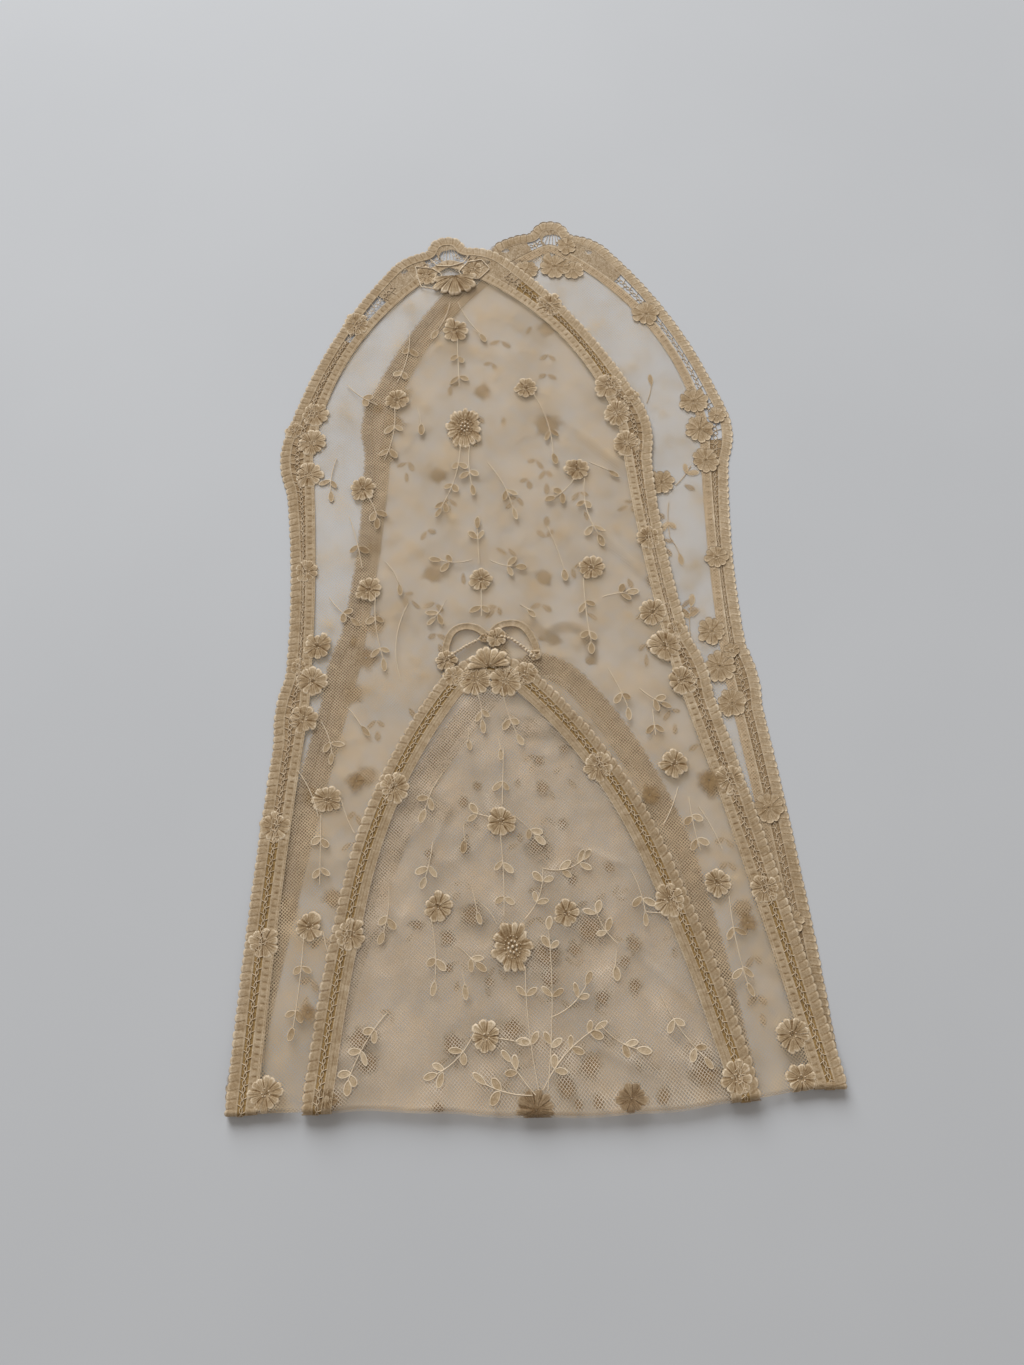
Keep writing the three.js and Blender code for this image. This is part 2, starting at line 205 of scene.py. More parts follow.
class Tier:
    """A tier's outlines, how it lies when folded, and the pieces that are sewn on its net."""

    def __init__(self, name, edge, arch, shift, back_reach, radius):
        self.name, self.edge, self.arch, self.shift = name, edge, arch, shift
        self.back_reach, self.radius, self.pieces = back_reach, radius, []
        self.bend = radius * math.pi / 2
        self.outline = arc_line(edge)

    def outside_back(self, x, y):
        """How far a point on the surface lies outside this tier's back leaf."""
        level = y / self.back_reach - FOLD_OFFSET + self.bend
        across = (x - self.shift) * COS - level * SIN
        along = (x - self.shift) * SIN + level * COS
        order = np.argsort(self.outline[:, 1], kind="stable")
        half = np.interp(along, self.outline[order, 1], self.outline[order, 0], right=-40)
        return np.abs(across) - half


LONG = Tier("long", LONG_EDGE, LONG_ARCH, 0.0, 1.0, (LONG_FRONT_STEP + FLUFF_HEIGHT) / 2)
SHORT = Tier(
    "short", SHORT_ARCH, SHORT_ARCH, SHORT_SHIFT, SHORT_BACK_REACH,
    (LONG_BACK_STEP + LONG_FRONT_STEP + SHORT_FRONT_STEP + FLUFF_HEIGHT) / 2,
)


def crease_height(x, y, rows):
    total = np.zeros(np.broadcast(x, y).shape)
    for x0, y0, x1, y1, height, width in rows:
        run = np.array([x1 - x0, y1 - y0], float)
        length = np.hypot(*run)
        t = ((x - x0) * run[0] + (y - y0) * run[1]) / length**2
        off = ((x - x0) * run[1] - (y - y0) * run[0]) / length
        ends = ramp(0, 0.25, t) * (1 - ramp(0.75, 1, t))
        total = total + height * ends * bell(off, 0, width)
    return total


def ripple(x, y, phase):
    """The faint unevenness of net that has been folded away."""
    slow = np.sin(x / 31 + y / 47 + phase) + np.sin(x / 53 - y / 37 + 2 * phase)
    quick = np.sin(x / 13 + y / 61 + 3 * phase) * np.sin(y / 17 - x / 71)
    return 0.16 * slow + 0.10 * quick


def off_fold(y):
    """Creases and ripples fade to nothing at the fold."""
    return 1 - np.exp(-y / SMOOTH_REACH)


def long_back(x, y):
    covered = 1 - ramp(SETTLE_START, SETTLE_END, SHORT.outside_back(x, y))
    return SHORT_BACK_HEIGHT + LONG_BACK_STEP * covered


def long_front(x, y):
    loose = ramp(SETTLE_START, SETTLE_END, LONG.outside_back(x, y))
    resting = (1 - loose) * (long_back(x, y) + LONG_FRONT_STEP) + loose * LOOSE_FLAP_HEIGHT
    uneven = off_fold(y) * (crease_height(x, y, LONG_CREASES) + ripple(x, y, 0.4) + 0.3)
    return resting + FLUFF_HEIGHT * np.exp(-y / FLUFF_REACH) + uneven


def short_back(x, y):
    return np.full(np.broadcast(x, y).shape, SHORT_BACK_HEIGHT)


def short_front(x, y):
    return long_front(x, y) + SHORT_FRONT_STEP + off_fold(y) * crease_height(x, y, SHORT_CREASES)


SURFACES = {"long": (long_front, long_back), "short": (short_front, short_back)}


def fold_sag(x, y):
    """How far the slack net at the fold bulges past the fold line."""
    return SAG_DEPTH * bell(x, SAG_MIDDLE, SAG_WIDTH) * np.exp(-np.maximum(y, 0) / SAG_REACH)


def place(tier, across, along, height):
    """Points of the folded tier, in millimetres from the middle of the fold."""
    across, along, height = np.broadcast_arrays(across, along, height)
    front, back = SURFACES[tier.name]
    x = tier.shift + across * COS - along * SIN
    q = across * SIN + along * COS - FOLD_OFFSET
    y = np.maximum(np.abs(q) - tier.bend, 0) * np.where(q < 0, tier.back_reach, 1.0)
    turn = np.clip(q / tier.radius, -math.pi / 2, math.pi / 2)
    reach = tier.radius + height
    turned = back(x, np.zeros_like(y)) + tier.radius + reach * np.sin(turn)
    z = np.where(q > tier.bend, front(x, y) + height, np.where(q < -tier.bend, back(x, y) - height, turned))
    y = np.where(np.abs(q) > tier.bend, y, -reach * np.cos(turn))
    waves = np.exp(-np.maximum(y, 0) / 12) * (0.5 * np.sin(x / 9 + 1) + 0.6 * np.sin(x / 23))
    y = y + waves - fold_sag(x, y)
    return np.stack([x, y, z], axis=-1)


# Where the fold lies in the row frame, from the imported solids
CAD_FOLD_RADIUS, CAD_WALL = 3.6, 1.0
FOLD_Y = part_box("short_net")[0][1] / MM + CAD_FOLD_RADIUS + CAD_WALL / 2
corners_x = [i * LONG.outline[:, 0] * COS - j * LONG.outline[:, 1] * SIN for i in (1, -1) for j in (1, -1)]
ORIGIN_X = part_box("long_edge_tape")[0][0] / MM - np.min(corners_x)

# Leaves are placed in a frame turned a little against the row's, with y from the edge of the fold
LAID_TURN = math.radians(0.57)
LAID_EDGE = -4.0


def unlaid(tier, x, y, back=False):
    """The across and along of the point of a leaf that lies at x, y."""
    turned_x = x * math.cos(LAID_TURN) + y * math.sin(LAID_TURN)
    turned_y = -x * math.sin(LAID_TURN) + y * math.cos(LAID_TURN) + LAID_EDGE
    level = turned_y
    for _ in range(12):
        level = turned_y + fold_sag(turned_x, level)
    side, q = turned_x - tier.shift, level + tier.bend + FOLD_OFFSET
    if back:
        q = FOLD_OFFSET - tier.bend - level / tier.back_reach
    return side * COS + q * SIN, -side * SIN + q * COS


def add_object(name, data):
    obj = bpy.data.objects.new(name, data)
    bpy.context.scene.collection.objects.link(obj)
    return obj


class Fabric:
    """Patches on a tier that become one mesh. Tone sets the thread's colour, with painted shade and painted
    highlights in it (a net reads it as density), and cover is how dense it is.
    """

    def __init__(self, tier):
        self.tier, self.count = tier, 0
        self.points, self.faces, self.tones, self.covers, self.sheet = [], [], [], [], []

    def add(self, points, faces, tone, sheet=(0.0, 0.0), cover=1.0):
        points = points.reshape(-1, 3)
        count = len(points)
        self.points.append(points)
        self.faces.append(faces.reshape(-1, 4) + self.count)
        for values, value in ((self.tones, tone), (self.covers, cover)):
            values.append(np.ravel(value) * np.ones(count))
        self.sheet.append(np.reshape(sheet, (-1, 2)) * np.ones((count, 2)))
        self.count += count

    def sew(self, across, along, height, faces, tone, cover=1.0):
        """Add a patch that is given on the flat sheet."""
        points = place(self.tier, across, along, height)
        self.add(points, faces, tone, np.stack([across, along], axis=-1), cover)

    def add_threads(self, paths, height, radius, tone, sides=5):
        """Add round threads along paths that are given on the flat sheet."""
        points, faces = tubes(place(self.tier, paths[..., 0], paths[..., 1], height), radius, sides)
        self.add(points, faces, tone)

    def build(self, name, material, slot, replaced=()):
        points = np.concatenate(self.points) + (ORIGIN_X, FOLD_Y, 0)
        points = np.maximum(points, (-np.inf, -np.inf, LOWEST)) * MM
        faces = np.concatenate(self.faces).astype(np.int32)
        mesh = bpy.data.meshes.new(name)
        mesh.from_pydata(points, [], faces, shade_flat=False)
        uv = mesh.uv_layers.new(name="Sheet")
        uv.data.foreach_set("uv", np.concatenate(self.sheet)[faces.ravel()].astype(np.float32).ravel() * MM)
        for label, values in (("tone", self.tones), ("cover", self.covers)):
            layer = mesh.attributes.new(label, "FLOAT", "POINT")
            layer.data.foreach_set("value", np.concatenate(values).astype(np.float32))
        mesh.materials.append(material)
        obj = add_object(name, mesh)
        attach(obj, "root")
        if replaced:
            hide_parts(*replaced)
        if slot != "net":
            self.tier.pieces.append(obj)
        return obj


def grid_faces(rows, columns, wrap_rows=False, wrap_columns=False, copies=1):
    """The faces of a grid of points, or of copies of it one after another."""
    i = np.arange(rows if wrap_rows else rows - 1)[:, None]
    j = np.arange(columns if wrap_columns else columns - 1)[None, :]
    after_i, after_j = (i + 1) % rows, (j + 1) % columns
    corners = (i * columns + j, i * columns + after_j, after_i * columns + after_j, after_i * columns + j)
    faces = np.stack(np.broadcast_arrays(*corners), axis=-1).reshape(-1, 4)
    return (faces + (np.arange(copies) * rows * columns)[:, None, None]).reshape(-1, 4)


def tubes(paths, radius, sides):
    """Round threads along paths of shape (threads, points, 3)."""
    ahead = np.gradient(paths, axis=1)
    ahead /= np.linalg.norm(ahead, axis=2, keepdims=True) + 1e-9
    side = np.cross(ahead, (0, 0, 1))
    side /= np.linalg.norm(side, axis=2, keepdims=True) + 1e-9
    rise = np.cross(side, ahead)
    angle = np.arange(sides) * TURN / sides
    ring = side[:, :, None] * np.cos(angle)[:, None] + rise[:, :, None] * np.sin(angle)[:, None]
    points = paths[:, :, None] + radius * ring
    return points, grid_faces(paths.shape[1], sides, wrap_columns=True, copies=len(paths))


# Materials

# Colours of cotton thread by tone, from the brown painted shade of the hollows to the cream of the cords, lit
# further by a painted highlight
COTTON = [
    (0.0, (0.170, 0.093, 0.035)), (0.4, (0.400, 0.278, 0.159)), (0.72, (0.620, 0.477, 0.320)),
    (1.0, (0.860, 0.717, 0.541)),
]
# Thread that lies under a net: browner and darker, as painted shade
SHADED_COTTON = [
    (0.0, (0.27, 0.165, 0.07)), (0.4, (0.44, 0.29, 0.145)), (0.72, (0.64, 0.47, 0.285)),
    (1.0, (0.86, 0.70, 0.48)),
]
# Brown painted shade for the deep groove between the two tapes, under the stitches
GROOVE_SHADE = [(0.0, (0.17, 0.094, 0.026)), (1.0, (0.48, 0.315, 0.135))]
# The long tier's net is darker and browner than the short tier's, which lies on top: painted shade for the
# lower layers
LONG_NET_COLOUR, SHORT_NET_COLOUR = (0.87, 0.69, 0.475), (0.98, 0.85, 0.70)
NET_MESH = 1.65 * MM
NET_THREAD = 0.07


def new_material(name):
    """A bare material, and a function that adds a node to it and gives one of the node's outputs."""
    material = bpy.data.materials.new(name)
    material.use_nodes = True
    tree = material.node_tree
    tree.nodes.clear()

    def node(kind, inputs=None, out=0, **settings):
        made = tree.nodes.new(f"ShaderNode{kind}")
        for key, value in settings.items():
            setattr(made, key, value)
        for key, value in (inputs or {}).items():
            if isinstance(value, bpy.types.NodeSocket):
                tree.links.new(value, made.inputs[key])
            else:
                made.inputs[key].default_value = value
        return made.outputs[out] if made.outputs else None

    return material, node


def colour_ramp(node, share, stops):
    colour = node("ValToRGB", {"Fac": share}, "Color")
    elements = colour.node.color_ramp.elements
    elements[0].position, elements[1].position = stops[0][0], stops[-1][0]
    for position, _ in stops[1:-1]:
        elements.new(position)
    for element, (_, shade) in zip(elements, stops):
        element.color = (*shade, 1)
    return colour


def thread_material(name, stops, yarn_scale, gauzy=False):
    """Spun cotton, coloured by tone, which carries painted shade and painted highlights, with blotches and
    fuzz. Gauzy cotton is as dense as its cover.
    """
    material, node = new_material(name)
    position = node("TexCoord", out="Object")
    tone = node("Attribute", out="Fac", attribute_name="tone")
    for scale, share in ((170, 0.35), (500, 0.5), (yarn_scale, 0.6)):
        fuzz = node("TexNoise", {"Vector": position, "Scale": scale, "Detail": 3, "Roughness": 0.6}, "Fac")
        centred = node("Math", {0: fuzz, 1: 0.5}, operation="SUBTRACT")
        tone = node("Math", {0: centred, 1: share, 2: tone}, operation="MULTIPLY_ADD")
    colour = colour_ramp(node, tone, stops)
    bump = node("Bump", {"Height": fuzz, "Strength": 0.5, "Distance": 0.0004}, "Normal")
    finish = {"Roughness": 0.9, "Specular IOR Level": 0.15, "Sheen Weight": 0.1}
    surface = node("BsdfPrincipled", {"Base Color": colour, "Normal": bump, **finish})
    if gauzy:
        cover = node("Attribute", out="Fac", attribute_name="cover")
        surface = node("MixShader", {"Fac": cover, 1: node("BsdfTransparent"), 2: surface})
    node("OutputMaterial", {"Surface": surface})
    return material


def net_material(name, colour, passed):
    """Fine net of soft threads that let light through, with slack and tight patches."""
    material, node = new_material(name)
    sheet = node("UVMap", out="UV", uv_map="Sheet")
    slanted = node("Mapping", {"Vector": sheet, "Rotation": (0, 0, math.pi / 4)})
    cells = node(
        "TexVoronoi", {"Vector": slanted, "Scale": 1 / NET_MESH, "Randomness": 0.2}, "Distance",
        voronoi_dimensions="2D", feature="DISTANCE_TO_EDGE",
    )
    slack = node("TexNoise", {"Vector": sheet, "Scale": 42, "Detail": 5, "Roughness": 0.65}, "Fac")
    loosened = node("Math", {0: slack, 1: 3.4, 2: -0.7}, operation="MULTIPLY_ADD")
    density = node("Attribute", out="Fac", attribute_name="tone")
    opened = node("Math", {0: loosened, 1: density}, operation="DIVIDE")
    distance = node("Math", {0: cells, 1: opened}, operation="MULTIPLY")
    limits = {"From Min": 0.6 * NET_THREAD, "From Max": 1.4 * NET_THREAD}
    open_share = node("MapRange", {"Value": distance, **limits}, interpolation_type="SMOOTHSTEP")
    cloud = node("TexNoise", {"Vector": sheet, "Scale": 26, "Detail": 4}, "Fac")
    shade = colour_ramp(node, cloud, [(0.36, [0.84 * c for c in colour]), (0.6, colour)])
    face, through = (node(kind, {"Color": shade}) for kind in ("BsdfDiffuse", "BsdfTranslucent"))
    thread = node("MixShader", {"Fac": passed, 1: face, 2: through})
    surface = node("MixShader", {"Fac": open_share, 1: thread, 2: node("BsdfTransparent")})
    node("OutputMaterial", {"Surface": surface})
    return material


TAPE_COTTON = thread_material("tape_cotton", COTTON, 1500, gauzy=True)
FLOWER_COTTON = thread_material("flower_cotton", COTTON, 1300)
SHADED_VEILED_COTTON = thread_material("shaded_veiled_cotton", SHADED_COTTON, 900, gauzy=True)
CORD_COTTON = thread_material("cord_cotton", COTTON, 1900)
GROOVE_SHADE_COTTON = thread_material("groove_shade_cotton", GROOVE_SHADE, 1700, gauzy=True)
LONG_NET_COTTON = net_material("long_net_cotton", LONG_NET_COLOUR, 0.34)
SHORT_NET_COTTON = net_material("short_net_cotton", SHORT_NET_COLOUR, 0.2)


# Nets

# Extra density of the front leaves' net; over the long back leaf it stands in for the moiré and the shade
# between the two layers, as painted shade
CREASE_DENSITY = 0.35
FLANK_DENSITY = 0.35
DOUBLED_DENSITY = 0.3


def net_points(tier, row_step, columns):
    half = inset_half(tier.arch, NET_INSET)
    reach = half[-1, 1] * COS - 3
    flats = np.arange(tier.bend + 0.3, reach + FOLD_OFFSET, row_step)
    turning = np.linspace(-tier.bend, tier.bend, 13)
    distances = np.concatenate([-flats[::-1], turning, flats[flats < reach - FOLD_OFFSET]])
    side = np.concatenate([half[::-1], half[1:] * (1, -1)])

    def rim(sign):
        q = sign * side[:, 0] * SIN + side[:, 1] * COS - FOLD_OFFSET
        return [np.interp(distances, q[::-1], side[::-1, k]) for k in range(2)]

    (right_a, right_s), (left_a, left_s) = rim(1), rim(-1)
    t = np.linspace(0, 1, columns)
    across = -left_a[:, None] * (1 - t) + right_a[:, None] * t
    along = left_s[:, None] * (1 - t) + right_s[:, None] * t
    return across, along, whole_loop(half)


def make_net(tier, row_step, columns, material, density, creases):
    """Net with a front leaf that is denser on creases, over the back leaf and beside the short tier."""
    across, along, loop = net_points(tier, row_step, columns)
    x, y, _ = np.moveaxis(place(tier, across, along, 0.0), -1, 0)
    flank = (1 - ramp(120, 330, y)) * ramp(0, 20, SHORT.outside_back(x, y)) * (tier is LONG)
    doubled = (1 - ramp(-12, 6, LONG.outside_back(x, y))) * (tier is LONG)
    extra = CREASE_DENSITY * crease_height(x, y, creases) + FLANK_DENSITY * flank + DOUBLED_DENSITY * doubled
    net = Fabric(tier)
    net.sew(across, along, 0.0, grid_faces(*across.shape), density + extra * (along > 0))
    obj = net.build(f"{tier.name}_net_sheet", material, "net", [f"{tier.name}_net"])
    after = np.roll(loop, -1, axis=0)
    area = 0.5 * abs((loop[:, 0] * after[:, 1] - after[:, 0] * loop[:, 1]).sum()) * MM**2
    width, length = (np.ptp(loop[:, k]) * MM for k in range(2))
    return obj, (width, length), area


# Tapes

# The thread's mid tone, and the lower tone of thread under a net, which is painted shade
BODY_TONE, SHADED_VEILED_TONE = 0.54, 0.42
STITCH_RADIUS, STITCH_TONE = 0.27, 0.78
VEILED_COVER = 0.66
BACK_POINT_LEFT, BACK_POINT_FROM = -45, -625
FADED_ALONG, FADED_ACROSS = (130, 260), (-30, 30)
TAPE_COVER = {"long": 0.94, "short": 0.86}


def in_sight(tier, across, along):
    """The front leaf, and the point and right border of the long back leaf, which stand out past it."""
    beside = (across > 0) | ((across > BACK_POINT_LEFT) & (along < BACK_POINT_FROM))
    return (along > 0) | (beside & (tier is LONG))


def bar_noise(number):
    return rng.normal(0, 1, number.max() + 1)[number][:, None]


def hem(share, width):
    """0 on both edges of a tape, and 1 from a share of its width inwards."""
    return np.minimum(1, np.minimum(share, 1 - share) / width)


def scalloped(phase, number, lobe, ease):
    """The edge tape: gathered bars with short slits between them, each ending in a lobe with a corded rim."""
    share = np.array([0, 0.05, 0.11, 0.18, 0.28, 0.40, 0.52, 0.64, 0.77, 0.88, 0.95, 1.0])
    uneven, tip = bar_noise(number), round_tip(phase)
    width = 2 * EDGE_HALF - ease + 0.5 - lobe * (1 - tip) + 0.15 * uneven
    edge = np.abs((phase + 0.7 * (share - 1) + 1) % 2 - 1)
    rim, cord = bell(share, 0.91, 0.07) * tip, bell(share, 0.06, 0.05)
    flank = bell(edge, 0.68, 0.14) * ramp(0.3, 0.5, share)
    slit = ramp(0.84, 0.97, edge) * ramp(0.12, 0.22, share)
    height = (0.12 + 0.2 * tip + 0.25 * rim + 0.3 * cord - 0.15 * slit) * hem(share, 0.03)
    # Painted shade darkens the slits; painted highlights lighten the bars' flanks, the corded rims of the
    # lobes and the cord
    bars = 0.035 * uneven - (0.30 + 0.10 * uneven) * slit + 0.16 * flank
    tone = BODY_TONE - 0.05 + bars + 0.36 * rim + 0.22 * cord
    veiled = VEILED_COVER * (1 - 0.5 * ramp(0.75, 1.0, share))
    return ease - EDGE_HALF + width * share, height, tone, veiled


def ribbed(phase, number, relief, ease):
    """The inner tape: slits between its bars, and cords along it, two of them beside the net."""
    share = np.array([0, 0.04, 0.08, 0.13, 0.18, 0.23, 0.30, 0.42, 0.54, 0.66, 0.78, 0.88, 0.94, 1.0])
    uneven, tip = bar_noise(number), round_tip(phase)
    flat = ramp(0.28, 0.36, share) * (1 - ramp(0.66, 0.82, share))
    cord = bell(share, 0.07, 0.045) + 0.8 * bell(share, 0.21, 0.045) + bell(share, 0.93, 0.05)
    slit = ramp(0.6, 0.9, np.abs(phase)) * flat * relief
    height = (0.1 + 0.15 * tip * flat + 0.25 * cord - 0.1 * slit) * hem(share, 0.03)
    stitches = bell(share, 0.14, 0.03) * (0.22 + 0.22 * np.cos(TURN * phase))
    ridges = 0.14 * (1 - relief) * np.sin(TURN * 3.2 * share)
    # Painted shade darkens the slits, and the cords carry a painted highlight
    tone = BODY_TONE + 0.03 * uneven - (0.28 + 0.1 * uneven) * slit - stitches + 0.20 * cord + ridges
    veiled = VEILED_COVER * (0.5 + 0.5 * ramp(0, 0.25, share))
    return (2 * INNER_HALF - ease) * share - INNER_HALF, height, tone, veiled


def narrow(phase, number, half, sink):
    """The crown's tape: plain and narrow, with a cord along both edges."""
    share = np.array([0, 0.06, 0.13, 0.22, 0.5, 0.78, 0.87, 0.94, 1.0])
    tip = round_tip(phase)
    cord = bell(share, 0.1, 0.06) + bell(share, 0.9, 0.06)
    height = (0.15 + 0.2 * tip + 0.4 * cord) * hem(share, 0.04) - sink
    # The raised middle of each step and the cords carry a painted highlight
    tone = 0.46 + 0.10 * tip + 0.2 * cord + 0.04 * bar_noise(number)
    return half * (2 * share - 1), height, tone, 0.7 * VEILED_COVER * np.sin(math.pi * share)


def sweep_tape(tier, line, per_pitch, profile, closed=True):
    """A tape along an even line. The profile gives side offset, height, tone and cover under a net."""
    normal = left_normals(line, closed)
    count = np.arange(len(line))
    phase = ((count % per_pitch) + 0.5) / per_pitch * 2 - 1
    side, height, tone, veiled = np.broadcast_arrays(*profile(phase[:, None], count // per_pitch))
    across, along = (line[:, k, None] + normal[:, k, None] * side for k in range(2))
    bare = in_sight(tier, across, along)
    faded = ramp(*FADED_ALONG, np.abs(along)) * ramp(*FADED_ACROSS, across) * (tier is LONG)
    bare_tone = tone + (0.08 + 0.04 * (along < 0)) * faded
    # Tape under a net takes the lower tone, painted shade
    tone = np.where(bare, bare_tone, SHADED_VEILED_TONE + 0.8 * (tone - BODY_TONE))
    cover = np.where(bare, TAPE_COVER[tier.name], veiled)
    tape = Fabric(tier)
    tape.sew(across, along, height, grid_faces(*across.shape, wrap_rows=closed), tone, cover)
    return tape


def make_tape(tier, kind, pitch, per_pitch, profile):
    outline, middle = (tier.edge, EDGE_MIDDLE) if kind == "edge" else (tier.arch, INNER_MIDDLE)
    loop = whole_loop(inset_half(outline, middle))
    line = evenly(loop, per_pitch * round(line_length(loop) / pitch))
    name = f"{tier.name}_{kind}_tape"
    tape = sweep_tape(tier, line, per_pitch, partial(profile, ease=LADDER_EASE[tier.name]))
    tape.build(f"{name}_lace", TAPE_COTTON, "tape", [name])


def ladder_rims(tier):
    """The facing rims of the two tapes, point for point, how far apart they are, and the stitches' phase."""
    overlap = 0.3 + LADDER_EASE[tier.name]
    outer_loop = whole_loop(inset_half(tier.edge, EDGE_MIDDLE + EDGE_HALF - overlap))
    inner_loop = whole_loop(inset_half(tier.arch, INNER_MIDDLE - INNER_HALF + overlap))
    periods = round(line_length(outer_loop) / (2 * LADDER_PITCH))
    outer = evenly(outer_loop, periods * LADDER_STEPS)
    facing = evenly(inner_loop, len(outer))
    gap = np.linalg.norm(outer[:, None] - facing[None], axis=2)
    phase = np.arange(len(outer)) * TURN / LADDER_STEPS
    return outer, facing[gap.argmin(axis=1)], gap.min(axis=1), phase


# How the two cords of the plait swing to and fro: phase and share of the gap
PLAIT = ((0.0, 0.19), (math.pi, 0.14))


def make_ladder(tier):
    """Needle stitches that join the two tapes: a plaited cord with a rung to each side by turns."""
    outer, inner, gap, phase = ladder_rims(tier)
    shown = (gap < LADDER_REACH) & in_sight(tier, *((outer + inner) / 2).T)
    ladder = Fabric(tier)

    def stitch(start, end, lead, chosen):
        foot = inner + (outer - inner) * start[:, None]
        head = np.roll(inner, -lead, axis=0) + np.roll(outer - inner, -lead, axis=0) * end[:, None]
        paths = np.stack([foot, head], axis=1)[chosen & shown & np.roll(shown, -lead)]
        ladder.add_threads(paths, 0.5, STITCH_RADIUS, STITCH_TONE, sides=4)

    for lead, swing in PLAIT:
        course = 0.5 + swing * np.sin(phase + lead)
        stitch(course, np.roll(course, -1), 1, shown)
    middle, count = np.full(len(phase), 0.5), np.arange(len(phase)) % LADDER_STEPS
    stitch(middle, 0 * middle, 2, count == 0)
    stitch(middle, 0 * middle + 1, 2, count == LADDER_STEPS // 2)
    ladder.build(f"{tier.name}_needle_stitches", CORD_COTTON, "tape")


# How far from the middle the ground under the stitches runs, right and left, and where it is pale thread on
# the front leaf instead of painted groove shade
FRONT_RUNS, BACK_RUNS = (618, 575), (470, 600)
PALE_FROM_LEFT, PALE_FROM_RIGHT, PALE_TO = 195, 125, 520


def make_ladder_ground(tier):
    """The ground under the stitches: brown painted shade of the groove between the tapes, pale thread high on
    the long tier and at its back right, and painted shade under the net on the other back parts.
    """
    outer, inner, gap, _ = ladder_rims(tier)
    a, s = ((outer + inner) / 2).T
    ends = np.where(s > 0, np.where(a > 0, *FRONT_RUNS), np.where(a > 0, *BACK_RUNS))
    kept = (gap < LADDER_REACH) & (np.abs(s) < ends)
    share = np.array([-0.05, 0.5, 1.05])[None, :, None]
    line = inner[:, None] * (1 - share) + outer[:, None] * share
    cells = np.stack([line, np.roll(line, -1, axis=0)], axis=1)[kept & np.roll(kept, -1)]
    tone = rng.uniform(0.2, 0.8, (len(cells), 1, 3)) * np.ones((1, 2, 1))
    front = cells[..., 1] > 0
    points = place(tier, cells[..., 0], cells[..., 1], np.where(front, 0.05, 0.7))
    front, a, s = front[:, 0, 0], cells[:, 0, 0, 0], cells[:, 0, 0, 1]
    pale_front = np.where(a < 0, s > PALE_FROM_LEFT, (a > 0) & (s > PALE_FROM_RIGHT) & (s < PALE_TO))
    pale = np.where(front, pale_front, a > 0) & (tier is LONG)
    cover = np.where(front | pale, 1.0, 0.6)[:, None, None] * np.ones((1, 2, 3))
    # Brown is painted shade in the groove, pale is pale thread, and veiled is painted shade under the back
    # leaf's net
    kinds = (
        ("brown", front & ~pale, GROOVE_SHADE_COTTON, tone), ("pale", pale, TAPE_COTTON, 0.7 * tone),
        ("veiled", ~front & ~pale, SHADED_VEILED_COTTON, SHADED_VEILED_TONE - 0.1 + 0.2 * tone),
    )
    for word, chosen, material, shade in kinds:
        if chosen.any():
            ground = Fabric(tier)
            faces = grid_faces(2, 3, copies=chosen.sum())
            ground.add(points[chosen], faces, shade[chosen], cover=cover[chosen])
            ground.build(f"{tier.name}_{word}_foundation", material, "tape")


def make_apex_lace(face, end):
    """Lace ground in the wide part of the long border at its point, with openings crossed by threads."""
    outer, inner, gap, _ = ladder_rims(LONG)
    wide = (gap >= LADDER_REACH - 2) & (end * outer[:, 1] > APEX_FROM)
    share = np.linspace(0.01, 1, 15)[None, :, None]
    line = inner[:, None] * (1 - share) + outer[:, None] * share
    cells = np.stack([line, np.roll(line, -1, axis=0)], axis=1)[wide & np.roll(wide, -1)]
    cells = np.stack([cells[:, :, :-1], cells[:, :, 1:]], axis=3)
    cells = cells.transpose(0, 2, 1, 3, 4).reshape(-1, 2, 2, 2)
    centre = cells.mean(axis=(1, 2)) * (1, end)
    kept = np.ones(len(cells), bool)
    threads = []
    for a, s, half_width, half_height in APEX_OPENINGS:
        kept &= ((centre[:, 0] - a) / half_width) ** 2 + ((centre[:, 1] - s) / half_height) ** 2 > 1
        for lean in np.linspace(-0.8, 0.8, 5):
            reach = half_height * math.sqrt(1 - lean**2) + 0.8
            threads.append([(a + lean * half_width, s - reach), (a + 0.6 * lean * half_width, s + reach)])
    cells = cells[kept]
    tone = (0.55 + rng.normal(0, 0.10, (len(cells), 1, 1))) * np.ones((1, 2, 2))
    lace = Fabric(LONG)
    faces = grid_faces(2, 2, copies=len(cells))
    lace.add(place(LONG, cells[..., 0], cells[..., 1], 0.15), faces, tone, cover=0.85)
    lace.add_threads(np.array(threads) * (1, end), 0.25, 0.22, 0.8, sides=4)
    for cord in APEX_CORDS:
        path = walk(np.array(cord, float), 30, False) * (1, end)
        lace.add_threads(path[None], 0.6, 0.45, 0.95)
    lace.build(f"long_{face}_apex_lace", TAPE_COTTON, "tape")


# Flowers

FINE_RINGS = np.array([0.03, 0.12, 0.22, 0.34, 0.48, 0.62, 0.75, 0.84, 0.91, 0.96, 1.0])
COARSE_RINGS = np.array([0.05, 0.3, 0.55, 0.78, 0.92, 1.0])
NOTCH = 0.25


